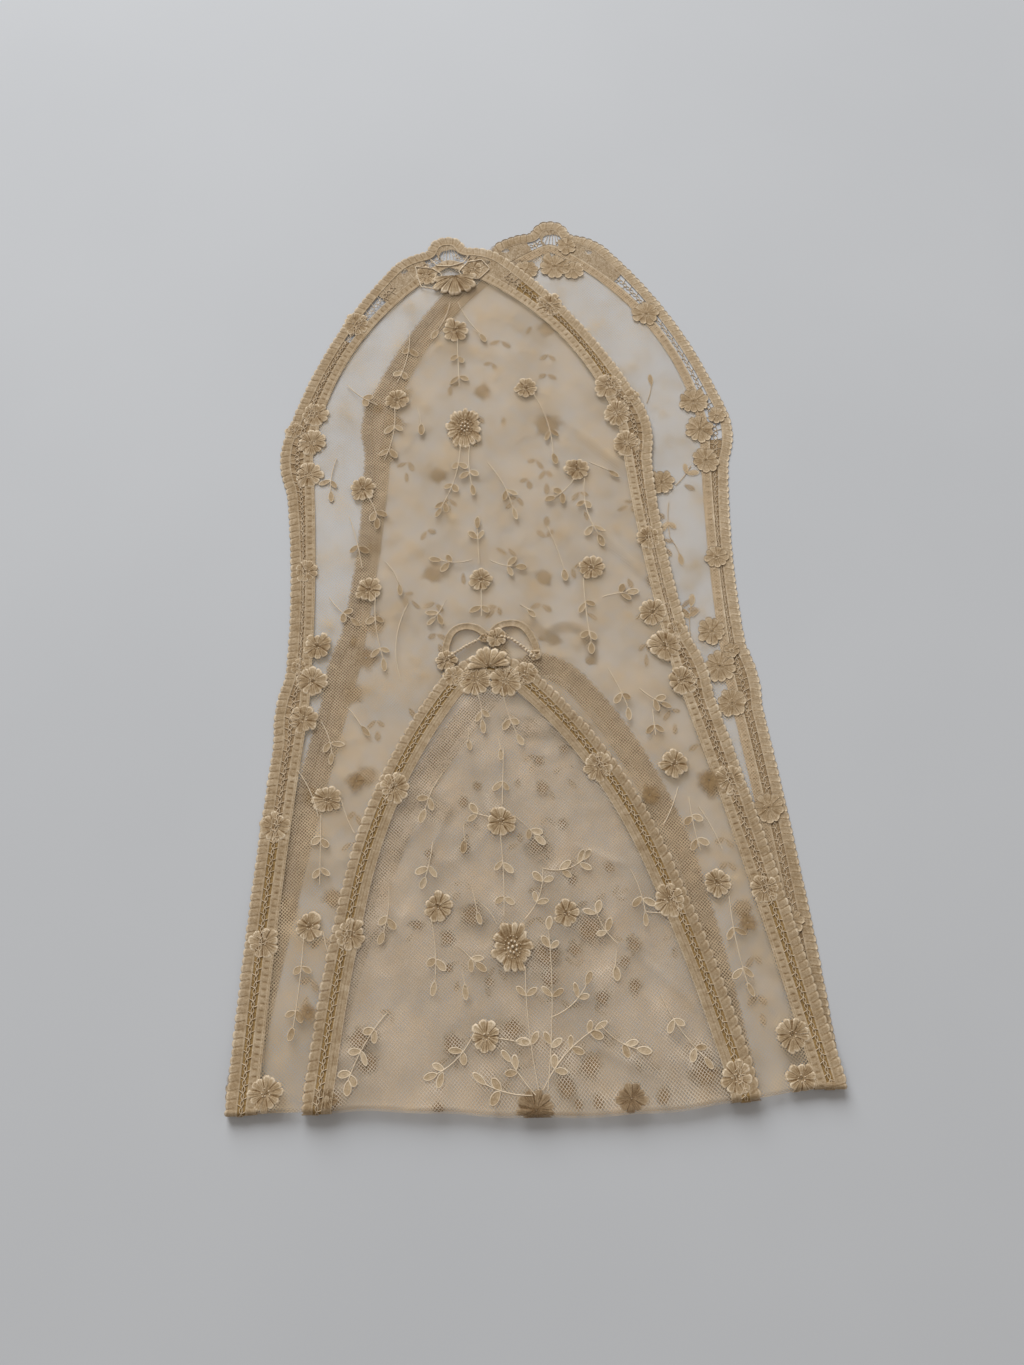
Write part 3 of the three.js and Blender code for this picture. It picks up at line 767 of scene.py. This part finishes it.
def rosette(size, lobes, height, fine=True, eye=False, arc=TURN):
    """A flower, or a fan of it, of gathered tape: round petals with corded rims round a pinched centre."""
    steps, rings = (12, FINE_RINGS) if fine else (6, COARSE_RINGS)
    count = lobes * steps
    phase = (((np.arange(count) % steps) + 0.5) / steps * 2 - 1)[:, None]
    tip = round_tip(phase)

    def each_petal(spread):
        return np.repeat(rng.normal(0, spread, lobes), steps)[:, None]

    angle = (np.arange(count) + 0.5)[:, None] * arc / count + each_petal(0.10) * tip
    inner = 0.5 if eye else 0.16
    petal = ramp(inner, inner + 0.14, rings)
    crinkle = rng.normal(0, 1, count)[:, None] * petal
    reach = (1 + each_petal(0.07 if fine else 0.16)) * (1 - NOTCH * (1 - tip))
    radius = size / 2 * rings * (1 + ramp(0.3, 0.95, rings) * (reach - 1))
    radius = radius * (1 + rng.normal(0, 0.012, radius.shape))
    gap = ramp(0.82, 0.96, np.abs(phase)) * petal
    folds = 0.5 - 0.5 * np.cos(TURN * 1.5 * phase + each_petal(1.0))
    folds = folds * petal * (1 - ramp(0.55, 0.8, rings))
    rim = bell(rings, 0.935, 0.05) * np.sqrt(tip)
    flank = bell(np.abs(phase), 0.74, 0.12) * ramp(0.5, 0.8, rings)
    speckle = rng.normal(0, 1, radius.shape) * (1 - ramp(inner + 0.05, inner + 0.35, rings))
    dome = ramp(inner - 0.05, inner + 0.3, rings) * (1 - 0.6 * ramp(0.75, 1.0, rings))
    lift = height * (0.15 + dome * (0.6 + 0.16 * crinkle - 0.45 * gap) + 0.3 * rim)
    lift = (lift + rng.normal(0, 0.09 * height, lift.shape)) * np.minimum(1, (1 - rings) / 0.05)
    pit = 1 - ramp(inner - 0.08, inner + 0.1, rings)
    slant = rng.uniform(0, TURN)
    slit = bell(radius * np.cos(angle - slant), 0, 0.16 * size)
    slit = slit * bell(radius * np.sin(angle - slant), 0, 0.04 * size)
    threads = pit * np.cos(TURN * rings / 0.2) if eye else 0
    # Painted shade darkens the gaps between petals, the gathers, the centre and the slit; painted highlights
    # lighten the corded rim, the petals' flanks and the crinkles that stand up
    tone = 0.52 + each_petal(0.05) + 0.08 * crinkle - 0.44 * gap - 0.22 * folds + 0.10 * threads
    tone = tone - (0.24 if eye else 0.16) * pit - (0.0 if eye else 0.25) * slit
    tone = tone + 0.38 * rim + 0.20 * flank + 0.14 * speckle
    points = np.stack([radius * np.cos(angle), radius * np.sin(angle), lift], axis=-1)
    cover = np.broadcast_to(1 - ramp(0.85 if fine else 0.3, 1.0, rings), tone.shape)
    return points, grid_faces(count, len(rings), wrap_rows=arc >= TURN), np.maximum(tone, 0.05), cover


def knots(centres, radius, top):
    """Small round knots, as squashed balls, on the face of a flower."""
    rows, sides = 5, 8
    polar = np.linspace(0.15, math.pi - 0.15, rows)[:, None]
    angle = np.arange(sides)[None] * TURN / sides
    shape = (np.sin(polar) * np.cos(angle), np.sin(polar) * np.sin(angle), 0.8 * np.cos(polar))
    ball = radius * np.stack(np.broadcast_arrays(*shape), axis=-1).reshape(-1, 3)
    points = np.asarray(centres)[:, None] + ball[None] + (0, 0, top)
    return points.reshape(-1, 3), grid_faces(rows, sides, wrap_columns=True, copies=len(centres))


def ring_of(count, radius):
    angle = np.arange(count) * TURN / count
    return np.stack([radius * np.cos(angle), radius * np.sin(angle), 0 * angle], axis=1)


# Rings of knots in the eye of a large flower: number, radius of the ring, knot radius, height and tone
EYE_KNOTS = [(16, 5.4, 0.45, 0.3, 0.72), (8, 2.9, 0.7, 0.4, 0.95), (1, 0, 0.9, 0.5, 1.0)]
EYE_STRETCH = 1.3


def add_flower(
    fabric, across, along, size, lobes, turn=0.0, height=0.5, base=0.1, arc=TURN, fine=True, soft=None,
    tall=1.0, contrast=1.0,
):
    """Sew a flower on. A soft one is veiled: painted brown as shade under the nets, blurred at its rim, and
    as dense as the number given.
    """
    eye = size > 25 and arc == TURN and not soft
    points, faces, tone, cover = rosette(size, lobes, height, fine, eye, arc)
    tone = BODY_TONE + contrast * (tone - BODY_TONE)
    if soft:
        tone = SHADED_VEILED_TONE - 0.10 + (0.9 if fine else 0.5) * (tone - BODY_TONE)
    parts = [(points.reshape(-1, 3), faces, tone, soft * cover if soft else 1.0)]
    rings = []
    if eye and fine:
        rings = [(ring_of(count, reach), *rest) for count, reach, *rest in EYE_KNOTS]
    elif fine and not soft:
        spots = ring_of(6, 0.11 * size) + np.column_stack([rng.normal(0, 0.4, (6, 2)), np.zeros(6)])
        rings = [(spots, 0.5, 0.3, 0.8)]
    parts += [(*knots(centres, radius, top), shade, 1.0) for centres, radius, top, shade in rings]
    stretch = EYE_STRETCH if eye else tall
    c, s = math.cos(turn), math.sin(turn)
    for local, local_faces, shade, dense in parts:
        a = across + local[:, 0] * c - local[:, 1] * s
        b = along + stretch * (local[:, 0] * s + local[:, 1] * c)
        fabric.sew(a, b, base + local[:, 2], local_faces, shade, dense)


# Flowers by node: across, along, diameter and number of lobes, and the turn of a fan
LONG_CENTRE = [(0, 576, 20, 9), (0, 491, 27, 15), (0, 366, 18, 9)]
LONG_SIDE = [(50, 519, 18, 9), (81, 447, 19, 10), (82, 367, 19, 9), (121, 216, 20, 10), (138, 132, 19, 9)]
LONG_BORDER = [(77, 590, 21, 9), (127, 386, 18, 9), (158, 201, 21, 10), (169, 125, 20, 9), (171, 31, 22, 12)]
LONG_SHOULDER = [(113, 514, 22, 10), (117, 490, 22, 10), (121, 464, 21, 9), (130, 502, 14, 7)]
LONG_HIP = [(122, 328, 21, 10), (127, 302, 23, 10), (135, 275, 21, 9), (136, 314, 12, 6)]
LONG_APEX = [(-18, 628, 18, 8), (19, 629, 17, 8)]
LONG_APEX_FAN = (4, 625, 38, 8, math.pi)
SHORT_CENTRE = [(0, 190, 20, 9), (-1, 107, 27, 15), (-48, 138, 20, 9), (37, 125, 18, 8), (-24, 54, 19, 9)]
SHORT_BORDER = [(71, 221, 22, 9), (107, 126, 22, 9)]
SHORT_CORNER = [(133, 14, 20, 9)]
SHORT_APEX = [(-23, 297, 15, 7), (-8, 292, 24, 10), (13, 289, 24, 10), (28, 293, 17, 7)]
SHORT_APEX_FAN = (2, 300, 30, 7)
CROWN_FLOWERS = [(-27, 309, 16, 8), (1, 323, 7, 6), (10, 322, 14, 7), (36, 306, 9, 6)]

# Openings in the lace at the long tier's point, as ellipses, and cords sewn round them
APEX_OPENINGS = [(2, 644.5, 8, 5.5), (-12, 628, 3.6, 3.0), (31, 634, 3.0, 2.2), (-36, 634, 3.5, 1.8)]
APEX_CORDS = [
    [(-26, 637), (-25, 627), (-23, 618), (-12, 614), (-6, 620), (-6, 628), (-13, 634), (-26, 637)],
    [(-13, 642), (-9, 636), (2, 634), (13, 636), (17, 642)],
    [(8, 628), (16, 636), (27, 637), (33, 628), (24, 620), (12, 620), (8, 628)],
]

# Flowers on the fold and at its corner, and what shows through the front leaves from below: x, y, diameter,
# and number of lobes
FOLD_FLOWERS = [(0, -4, 27, 11), (61, 1, 20, 9), (-134, 7, 18, 7)]
FOLD_FLOWER_STRETCH = 0.8
CORNER_FLOWER = [(171, 9, 20, 9)]
SHOWING_THROUGH = [
    (8, 165, 19), (-38, 119, 21), (11, 92, 23), (12, 76, 15), (40, 107, 23), (29, 94, 12), (-14, 46, 17),
    (-52, 37, 18), (20, 9, 16), (36, 22, 17), (69, 96, 12), (62, 85, 10), (46, 63, 13), (68, 70, 12),
    (110, 16, 21), (-113, 42, 19), (-107, 27, 17), (-130, 6, 18), (-55, 104, 14), (-75, 113, 9),
    (-42, 163, 10), (-43, 195, 10), (-33, 206, 8), (12, 203, 12), (10, 222, 9), (28, 230, 9), (25, 178, 9),
    (-67, 160, 9), (-55, 85, 9), (-28, 75, 9), (55, 147, 9), (30, 140, 10), (27, -1, 8), (40, -1, 9),
    (82, 2, 10), (-62, -1, 11), (86, 196, 20), (128, 205, 22), (146, 108, 18), (-147, 60, 15),
    (-117, 212, 17),
]


def mirrored(rows, side):
    return [(side * a, s, size, lobes) for a, s, size, lobes in rows]


def laid_rows(tier, rows):
    """Rows that are given by where they lie, with their place on the flat sheet instead."""
    return [(*unlaid(tier, x, y), *rest) for x, y, *rest in rows]


def sew_flowers(name, tier, rows, material, replaced=(), fan=None, turn=None, **look):
    """One piece of flowers that are turned by chance if no turn is given, and the fan of a cluster."""
    fabric = Fabric(tier)
    for row in rows:
        turned = rng.uniform(0, TURN) if turn is None else turn
        add_flower(fabric, *row, turn=turned, **look)
    if fan:
        add_flower(fabric, *fan, height=1.2, base=0.6, arc=math.pi)
    fabric.build(name, material, "flower", replaced)


def make_flowers(tier, node, rows, fan=None):
    """Flowers in pieces of their own, or in one piece where they are a cluster."""
    groups = [(f"{node}_{i + 1}", [row]) for i, row in enumerate(rows)]
    if "cluster" in node:
        groups = [(node, rows)]
    for name, members in groups:
        sew_flowers(f"{name}_rosette", tier, members, FLOWER_COTTON, [name], fan)


def back_row(tier, a, s):
    """The place on the back leaf, nearer the fold, that matches a place on the front leaf."""
    return (a, -s + BACK_SHIFT) if tier is LONG else (a + 4, -0.89 * s + 6)


# How strong the petals of a flower seen from behind are
BEHIND_CONTRAST = 0.6


def make_back_flowers(tier, rows, name, soft):
    """The flowers of a back leaf, pressed flat against what it lies on and seen from behind."""
    look = {"height": 0.35, "base": -0.42, "contrast": BEHIND_CONTRAST}
    if soft:
        look = {"height": 0.6, "base": 0.08, "fine": False, "soft": soft}
    rows = [(*back_row(tier, a, s), size, lobes) for a, s, size, lobes in rows]
    material = SHADED_VEILED_COTTON if soft else FLOWER_COTTON
    sew_flowers(f"{tier.name}_back_{name}", tier, rows, material, **look)


def make_crown(face, end):
    """Two lobes of narrow tape past the short tier's point, sunk to the leaf below, with flowers."""
    line = inset(arc_line(CROWN_LINE), CROWN_HALF)
    count = CROWN_STEPS * round(line_length(line, False) / CROWN_PITCH)
    line = walk(line, count, False)[::-1] * (1, end)
    half, sink, soft = (CROWN_HALF, CROWN_SINK, None) if end > 0 else (2 * CROWN_HALF, 0.0, 0.7)
    crown = sweep_tape(SHORT, line, CROWN_STEPS, partial(narrow, half=half, sink=sink), closed=False)
    for chain in CROWN_CHAINS if end > 0 else ():
        path = np.array(chain, float)
        spots = walk(path, round(line_length(path, False) / KNOT_PITCH), False)
        balls, faces = knots(np.column_stack([spots, 0 * spots[:, 0]]), 1.2, 0.6)
        crown.add(place(SHORT, balls[:, 0], balls[:, 1], balls[:, 2] - sink), faces, 0.85)
    for a, s, size, lobes in CROWN_FLOWERS:
        look = {"height": 0.9, "base": 0.2 - sink, "fine": end > 0, "soft": soft}
        add_flower(crown, a, end * s, size, lobes, rng.uniform(0, TURN), **look)
    crown.build(f"short_{face}_crown_lace", TAPE_COTTON, "tape", [f"short_{face}_crown"])


# Sprays sewn on the front leaves: x, y of both ends, bow of the stem, pairs of leaves, and a leaf at the tip
LONG_SPRAYS = [
    (-78, 568, -88, 522, 3, 2, 0), (-90, 501, -98, 456, 3, 2, 0), (-127, 522, -103, 503, -2, 1, 0),
    (-41, 559, -40, 517, 0, 2, 0), (-46, 592, -59, 564, 2, 0, 1), (-40, 592, -20, 560, -2, 0, 1),
    (-40, 467, -58, 412, 4, 3, 1), (-33, 467, -31, 430, -2, 1, 1), (-20, 452, -1, 410, 3, 1, 1),
    (-73, 500, -70, 482, 1, 0, 1), (-134, 460, -138, 428, -2, 1, 1), (-111, 428, -103, 405, 2, 1, 1),
    (-124, 411, -114, 370, 1, 1, 0), (-97, 374, -86, 352, 2, 0, 1), (-104, 350, -97, 296, -3, 2, 1),
    (-138, 348, -118, 329, -2, 1, 1), (-28, 371, -29, 403, 0, 1, 1), (-33, 374, -60, 376, 3, 1, 1),
    (-20, 373, 3, 368, -2, 1, 1), (-27, 351, -27, 330, 0, 1, 0), (-53, 343, -64, 327, 1, 1, 1),
    (-80, 342, -86, 284, -6, 0, 0), (-124, 265, -112, 247, 1, 0, 1), (-142, 255, -134, 228, 2, 1, 1),
    (17, 509, 30, 454, 4, 1, 1), (57, 450, 75, 441, 0, 0, 1), (45, 437, 26, 420, 2, 1, 1),
    (53, 437, 63, 387, -5, 2, 1), (23, 399, 35, 360, 1, 0, 1), (48, 357, 52, 303, -1, 2, 1),
    (1, 338, 10, 332, 0, 0, 1), (61, 342, 83, 345, 1, 1, 1), (62, 288, 76, 254, 1, 1, 1),
    (84, 272, 102, 260, -1, 1, 1), (92, 257, 93, 238, 0, 1, 0), (106, 201, 94, 175, 1, 0, 0),
    (113, 194, 118, 157, -1, 2, 0), (119, 187, 133, 157, 1, 0, 0), (135, 126, 143, 65, -2, 2, 1),
    (-158, 221, -143, 188, 2, 0, 0), (-141, 190, -141, 142, 0, 2, 0), (-127, 199, -118, 176, -1, 0, 0),
    (-151, 110, -157, 46, 1, 2, 1), (-138, 111, -131, 90, -1, 0, 0),
]
SHORT_SPRAYS = [
    (-33, 276, -29, 248, 2, 1, 1), (-38, 247, -39, 234, 0, 0, 1), (-14, 276, -2, 237, -2, 1, 1),
    (-18, 241, -15, 227, 0, 0, 1), (-14, 232, -16, 192, 0, 1, 0), (-26, 184, -36, 187, 0, 1, 0),
    (-8, 184, 8, 167, 1, 1, 1), (-18, 172, -17, 117, 1, 2, 0), (-57, 215, -70, 186, -2, 1, 1),
    (-64, 168, -71, 140, 1, 1, 1), (-66, 118, -64, 72, 2, 1, 1), (-94, 139, -99, 105, 2, 1, 1),
    (-43, 179, -42, 164, 0, 0, 1), (-38, 137, -34, 116, 0, 0, 1), (-32, 126, -22, 112, 1, 0, 0),
    (-48, 99, -34, 85, 0, 1, 1), (-46, 84, -43, 70, 0, 0, 1), (-3, 115, 10, 148, -4, 2, 0),
    (10, 148, 41, 156, -5, 2, 1), (58, 97, 44, 124, 3, 2, 0), (57, 93, 55, 78, 0, 0, 1),
    (69, 146, 78, 112, 2, 1, 1), (78, 117, 88, 116, 0, 0, 0), (84, 64, 113, 21, -3, 2, 1),
    (-95, 58, -121, 13, -3, 3, 1), (-38, 45, -67, 18, 4, 2, 1), (-22, 40, -7, 37, 0, 0, 1),
    (0, 5, -18, 30, 1, 1, 1), (-2, 5, -36, 15, 2, 1, 1), (2, 8, -4, 84, 2, 2, 0), (8, 8, 12, 112, -3, 3, 1),
    (12, 52, 38, 76, -4, 1, 1), (5, 8, 44, 46, 4, 3, 1), (44, 46, 71, 30, -3, 1, 1),
]
# The sprays of the long tier's back leaf that no other leaf covers
BARE_BACK_SPRAYS = [
    (115, 416, 114, 388, 1, 1, 0), (114, 388, 121, 370, -1, 0, 1), (121, 430, 134, 446, 1, 1, 0),
    (124, 306, 127, 338, -2, 1, 1), (104, 500, 109, 520, 1, 0, 1),
]
LEAF_LENGTH, LEAF_WIDTH = 9.0, 4.4
STEM_POINTS = 9
FRONT_STEM, BACK_STEM = (0.3, 0.33, 0.95), (0.35, 0.25, 0.7)


def spray_lines(tier, rows, back=False):
    """Stems and leaves of the sprays, on the flat sheet. A leaf is its foot, its direction and its size."""
    stems, leaves = [], []
    t = np.linspace(0, 1, STEM_POINTS)
    for x0, y0, x1, y1, bow, pairs, tip in rows:
        (a0, s0), (a1, s1) = unlaid(tier, x0, y0, back), unlaid(tier, x1, y1, back)
        length = math.hypot(a1 - a0, s1 - s0)
        forward = np.array([a1 - a0, s1 - s0]) / length
        side = np.array([-forward[1], forward[0]])
        curve = np.array([a0, s0]) + np.outer(t * length, forward) + np.outer(4 * bow * t * (1 - t), side)
        heading = np.gradient(curve, axis=0)
        for k in range(pairs):
            at = (k + 0.75) / (pairs + 0.35) * (STEM_POINTS - 1)
            i = min(int(at), STEM_POINTS - 2)
            foot = curve[i] + (curve[i + 1] - curve[i]) * (at - i)
            course = math.atan2(heading[i, 1], heading[i, 0])
            for sign in (-1, 1):
                spread = sign * rng.uniform(0.55, 1.15)
                reach = rng.uniform(0, 2.0)
                size = LEAF_LENGTH * rng.uniform(0.8, 1.15)
                leaves.append((*(foot + reach * forward), course + spread, size))
        if tip:
            course = math.atan2(heading[-1, 1], heading[-1, 0])
            foot = curve[-1] - 0.55 * LEAF_LENGTH * np.array([math.cos(course), math.sin(course)])
            leaves.append((*foot, course + rng.uniform(-0.25, 0.25), LEAF_LENGTH * rng.uniform(0.95, 1.2)))
            curve = walk(np.concatenate([curve[:-1], foot[None]]), STEM_POINTS, False)
        stems.append(curve)
    return np.array(stems), np.array(leaves)


LEAF_RINGS = np.array([1.0, 0.93, 0.82, 0.72, 0.5, 0.2, 0.03])
LEAF_HEIGHTS = np.array([0.02, 0.24, 0.26, 0.1, 0.1, 0.09, 0.05])
LEAF_TONES = np.array([0.62, 0.90, 0.86, 0.42, 0.50, 0.52, 0.38])
LEAF_COVERS = np.array([0.0, 0.12, 0.32, 0.48, 0.56, 0.56, 0.56])
LEAF_SIDES = 20


def leaf_shapes(leaves):
    """Small pointed leaves of narrow tape with a corded rim and a slit down the middle."""
    around = np.arange(LEAF_SIDES) * TURN / LEAF_SIDES
    run = -0.5 * np.cos(around)
    belly = np.sign(np.sin(around)) * np.abs(np.sin(around)) ** 1.25 * (1 - 0.15 * np.cos(around))
    u = 0.5 + run[None] * (0.3 + 0.7 * LEAF_RINGS)[:, None]
    v = belly[None] * LEAF_RINGS[:, None] * LEAF_WIDTH / 2
    foot_a, foot_s, course, size = (leaves[:, k][:, None, None] for k in range(4))
    plump = rng.uniform(0.85, 1.25, len(leaves))[:, None, None]
    across = foot_a + u * size * np.cos(course) - v * plump * np.sin(course)
    along = foot_s + u * size * np.sin(course) + v * plump * np.cos(course)
    columns = (0.1 + LEAF_HEIGHTS, LEAF_TONES, LEAF_COVERS)
    height, tone, cover = (np.broadcast_to(column[:, None], across.shape) for column in columns)
    tone = tone + rng.normal(0, 0.07, len(leaves))[:, None, None]
    faces = grid_faces(len(LEAF_RINGS), LEAF_SIDES, wrap_columns=True, copies=len(leaves))
    return across, along, height, tone, cover, faces


def add_sprays(fabric, rows, stem, lighter, cover=1.0, back=False):
    """Sprays in plain sight. The stem is its height, radius and tone."""
    stems, leaves = spray_lines(fabric.tier, rows, back)
    fabric.add_threads(stems, *stem)
    across, along, height, tone, _, faces = leaf_shapes(leaves)
    fabric.sew(across, along, height, faces, tone + lighter, cover)


def make_sprays(tier, rows):
    """The front leaf's sprays, and the back leaf's, which show through the net as brown smudges of painted
    shade.
    """
    front, behind = Fabric(tier), Fabric(tier)
    add_sprays(front, rows, FRONT_STEM, 0.1 if tier is SHORT else 0.0)
    front.build(f"{tier.name}_front_sprays", CORD_COTTON, "flower")
    across, along, height, tone, cover, faces = leaf_shapes(spray_lines(tier, rows)[1])
    tone = SHADED_VEILED_TONE + 0.2 * (tone - BODY_TONE)
    behind.sew(*back_row(tier, across, along), height, faces, tone, cover)
    if tier is LONG:
        add_sprays(behind, BARE_BACK_SPRAYS, BACK_STEM, 0.2, 0.75, back=True)
    behind.build(f"{tier.name}_back_sprays", SHADED_VEILED_COTTON, "flower")


# Everything on the two tiers
long_net, long_flat, long_area = make_net(LONG, 3.0, 90, LONG_NET_COTTON, 1.05, LONG_CREASES)
short_net, short_flat, short_area = make_net(SHORT, 2.0, 116, SHORT_NET_COTTON, 1.08, SHORT_CREASES)

make_tape(LONG, "edge", 5.2, 10, partial(scalloped, lobe=1.5))
make_tape(LONG, "inner", 4.5, 8, partial(ribbed, relief=1.0))
make_tape(SHORT, "edge", 6.2, 12, partial(scalloped, lobe=2.2))
make_tape(SHORT, "inner", 4.5, 6, partial(ribbed, relief=0.2))
for tier in (LONG, SHORT):
    make_ladder(tier)
    make_ladder_ground(tier)
for make in (make_apex_lace, make_crown):
    make("front", 1)
    make("back", -1)

for word, side in (("left", -1), ("right", 1)):
    for tier, node, rows in (
        (LONG, "long_side_flower", LONG_SIDE), (LONG, "long_edge_flower", LONG_BORDER),
        (LONG, "long_shoulder_cluster", LONG_SHOULDER), (LONG, "long_hip_cluster", LONG_HIP),
        (SHORT, "short_edge_flower", SHORT_BORDER),
    ):
        make_flowers(tier, f"{node}_{word}", mirrored(rows, side))
make_flowers(LONG, "long_centre_flower", LONG_CENTRE)
make_flowers(LONG, "long_apex_cluster", LONG_APEX, LONG_APEX_FAN)
make_flowers(SHORT, "short_centre_flower", SHORT_CENTRE)
make_flowers(SHORT, "short_corner_flower", SHORT_CORNER)
make_flowers(SHORT, "short_apex_cluster", SHORT_APEX, SHORT_APEX_FAN)

sew_flowers("long_corner_rosette", LONG, laid_rows(LONG, CORNER_FLOWER), FLOWER_COTTON, turn=0.4)
look = {"height": 0.3, "base": 0.05, "soft": 0.75, "tall": FOLD_FLOWER_STRETCH}
sew_flowers("short_fold_rosettes", SHORT, laid_rows(SHORT, FOLD_FLOWERS), TAPE_COTTON, turn=0.0, **look)
look = {"lobes": 9, "fine": False, "soft": 0.74}
sew_flowers("long_covered_rosettes", LONG, laid_rows(LONG, SHOWING_THROUGH), SHADED_VEILED_COTTON, **look)

border_rows = LONG_BORDER[:-1] + LONG_SHOULDER + LONG_HIP
bare_rows = border_rows + LONG_APEX + [(87, 445, 20, 9), (4, 632, 24, 9), (14, 652, 16, 7)]
make_back_flowers(LONG, bare_rows, "border_rosettes", None)
veiled_rows = LONG_CENTRE + LONG_SIDE[:1] + LONG_SIDE[2:] + mirrored(LONG_SIDE + border_rows, -1)
make_back_flowers(LONG, veiled_rows, "net_rosettes", 0.8)
veiled_rows = SHORT_CENTRE + SHORT_APEX + SHORT_BORDER + mirrored(SHORT_BORDER, -1)
make_back_flowers(SHORT, veiled_rows, "net_rosettes", 0.85)
for tier, rows in ((LONG, LONG_SPRAYS), (SHORT, SHORT_SPRAYS)):
    make_sprays(tier, rows)


# Surface, light and camera

FLOOR_CORNERS = [(-3, -3, 0), (3, -3, 0), (3, 3, 0), (-3, 3, 0)]
WINDOW_AT = (-1.3, 4.75, 2.9)

material, node = new_material("pale_floor")
position = node("TexCoord", out="Object")
grain = node("TexNoise", {"Vector": position, "Scale": 3, "Detail": 4}, "Fac")
colour = colour_ramp(node, grain, [(0.3, (0.61, 0.62, 0.65)), (0.7, (0.64, 0.65, 0.68))])
finish = {"Roughness": 0.7, "Specular IOR Level": 0.25}
node("OutputMaterial", {"Surface": node("BsdfPrincipled", {"Base Color": colour, **finish})})
mesh = bpy.data.meshes.new("floor")
mesh.from_pydata(FLOOR_CORNERS, [], [(0, 1, 2, 3)])
mesh.materials.append(material)
floor = add_object("floor", mesh)

light = bpy.data.lights.new("window", "AREA")
light.shape, light.size, light.energy, light.color = "DISK", 3.8, 345, (0.955, 0.985, 1.0)
window = add_object("window", light)
window.location = x, y, z = WINDOW_AT
window.rotation_euler = (math.atan2(math.hypot(x, y), z), 0, math.atan2(-y, -x) - math.pi / 2)

world = bpy.data.worlds.new("studio")
bpy.context.scene.world = world
world.use_nodes = True
background = world.node_tree.nodes["Background"].inputs
background["Color"].default_value = (1.0, 0.945, 0.87, 1)
background["Strength"].default_value = 0.30
bpy.context.scene.view_settings.view_transform = "Standard"

# The camera looks down at the folded veil, tipped a little from straight down
CAMERA_HEIGHT, CAMERA_TILT, CAMERA_ROLL = 707.9, math.radians(15), math.radians(2.33)
CAMERA_X, CAMERA_Y = -11.6, 90.7
SENSOR_WIDTH, FOCAL_SHARE = 36, 1025 / 1365
camera_data = bpy.data.cameras.new("camera")
camera_data.sensor_width = SENSOR_WIDTH
camera_data.lens = SENSOR_WIDTH * FOCAL_SHARE
camera = add_object("camera", camera_data)
camera_y = FOLD_Y + LAID_EDGE + CAMERA_Y
camera.location = ((ORIGIN_X + CAMERA_X) * MM, camera_y * MM, CAMERA_HEIGHT * MM)
camera.rotation_euler = (CAMERA_TILT, 0, -CAMERA_ROLL)
bpy.context.scene.camera = camera

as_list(LONG.pieces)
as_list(SHORT.pieces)
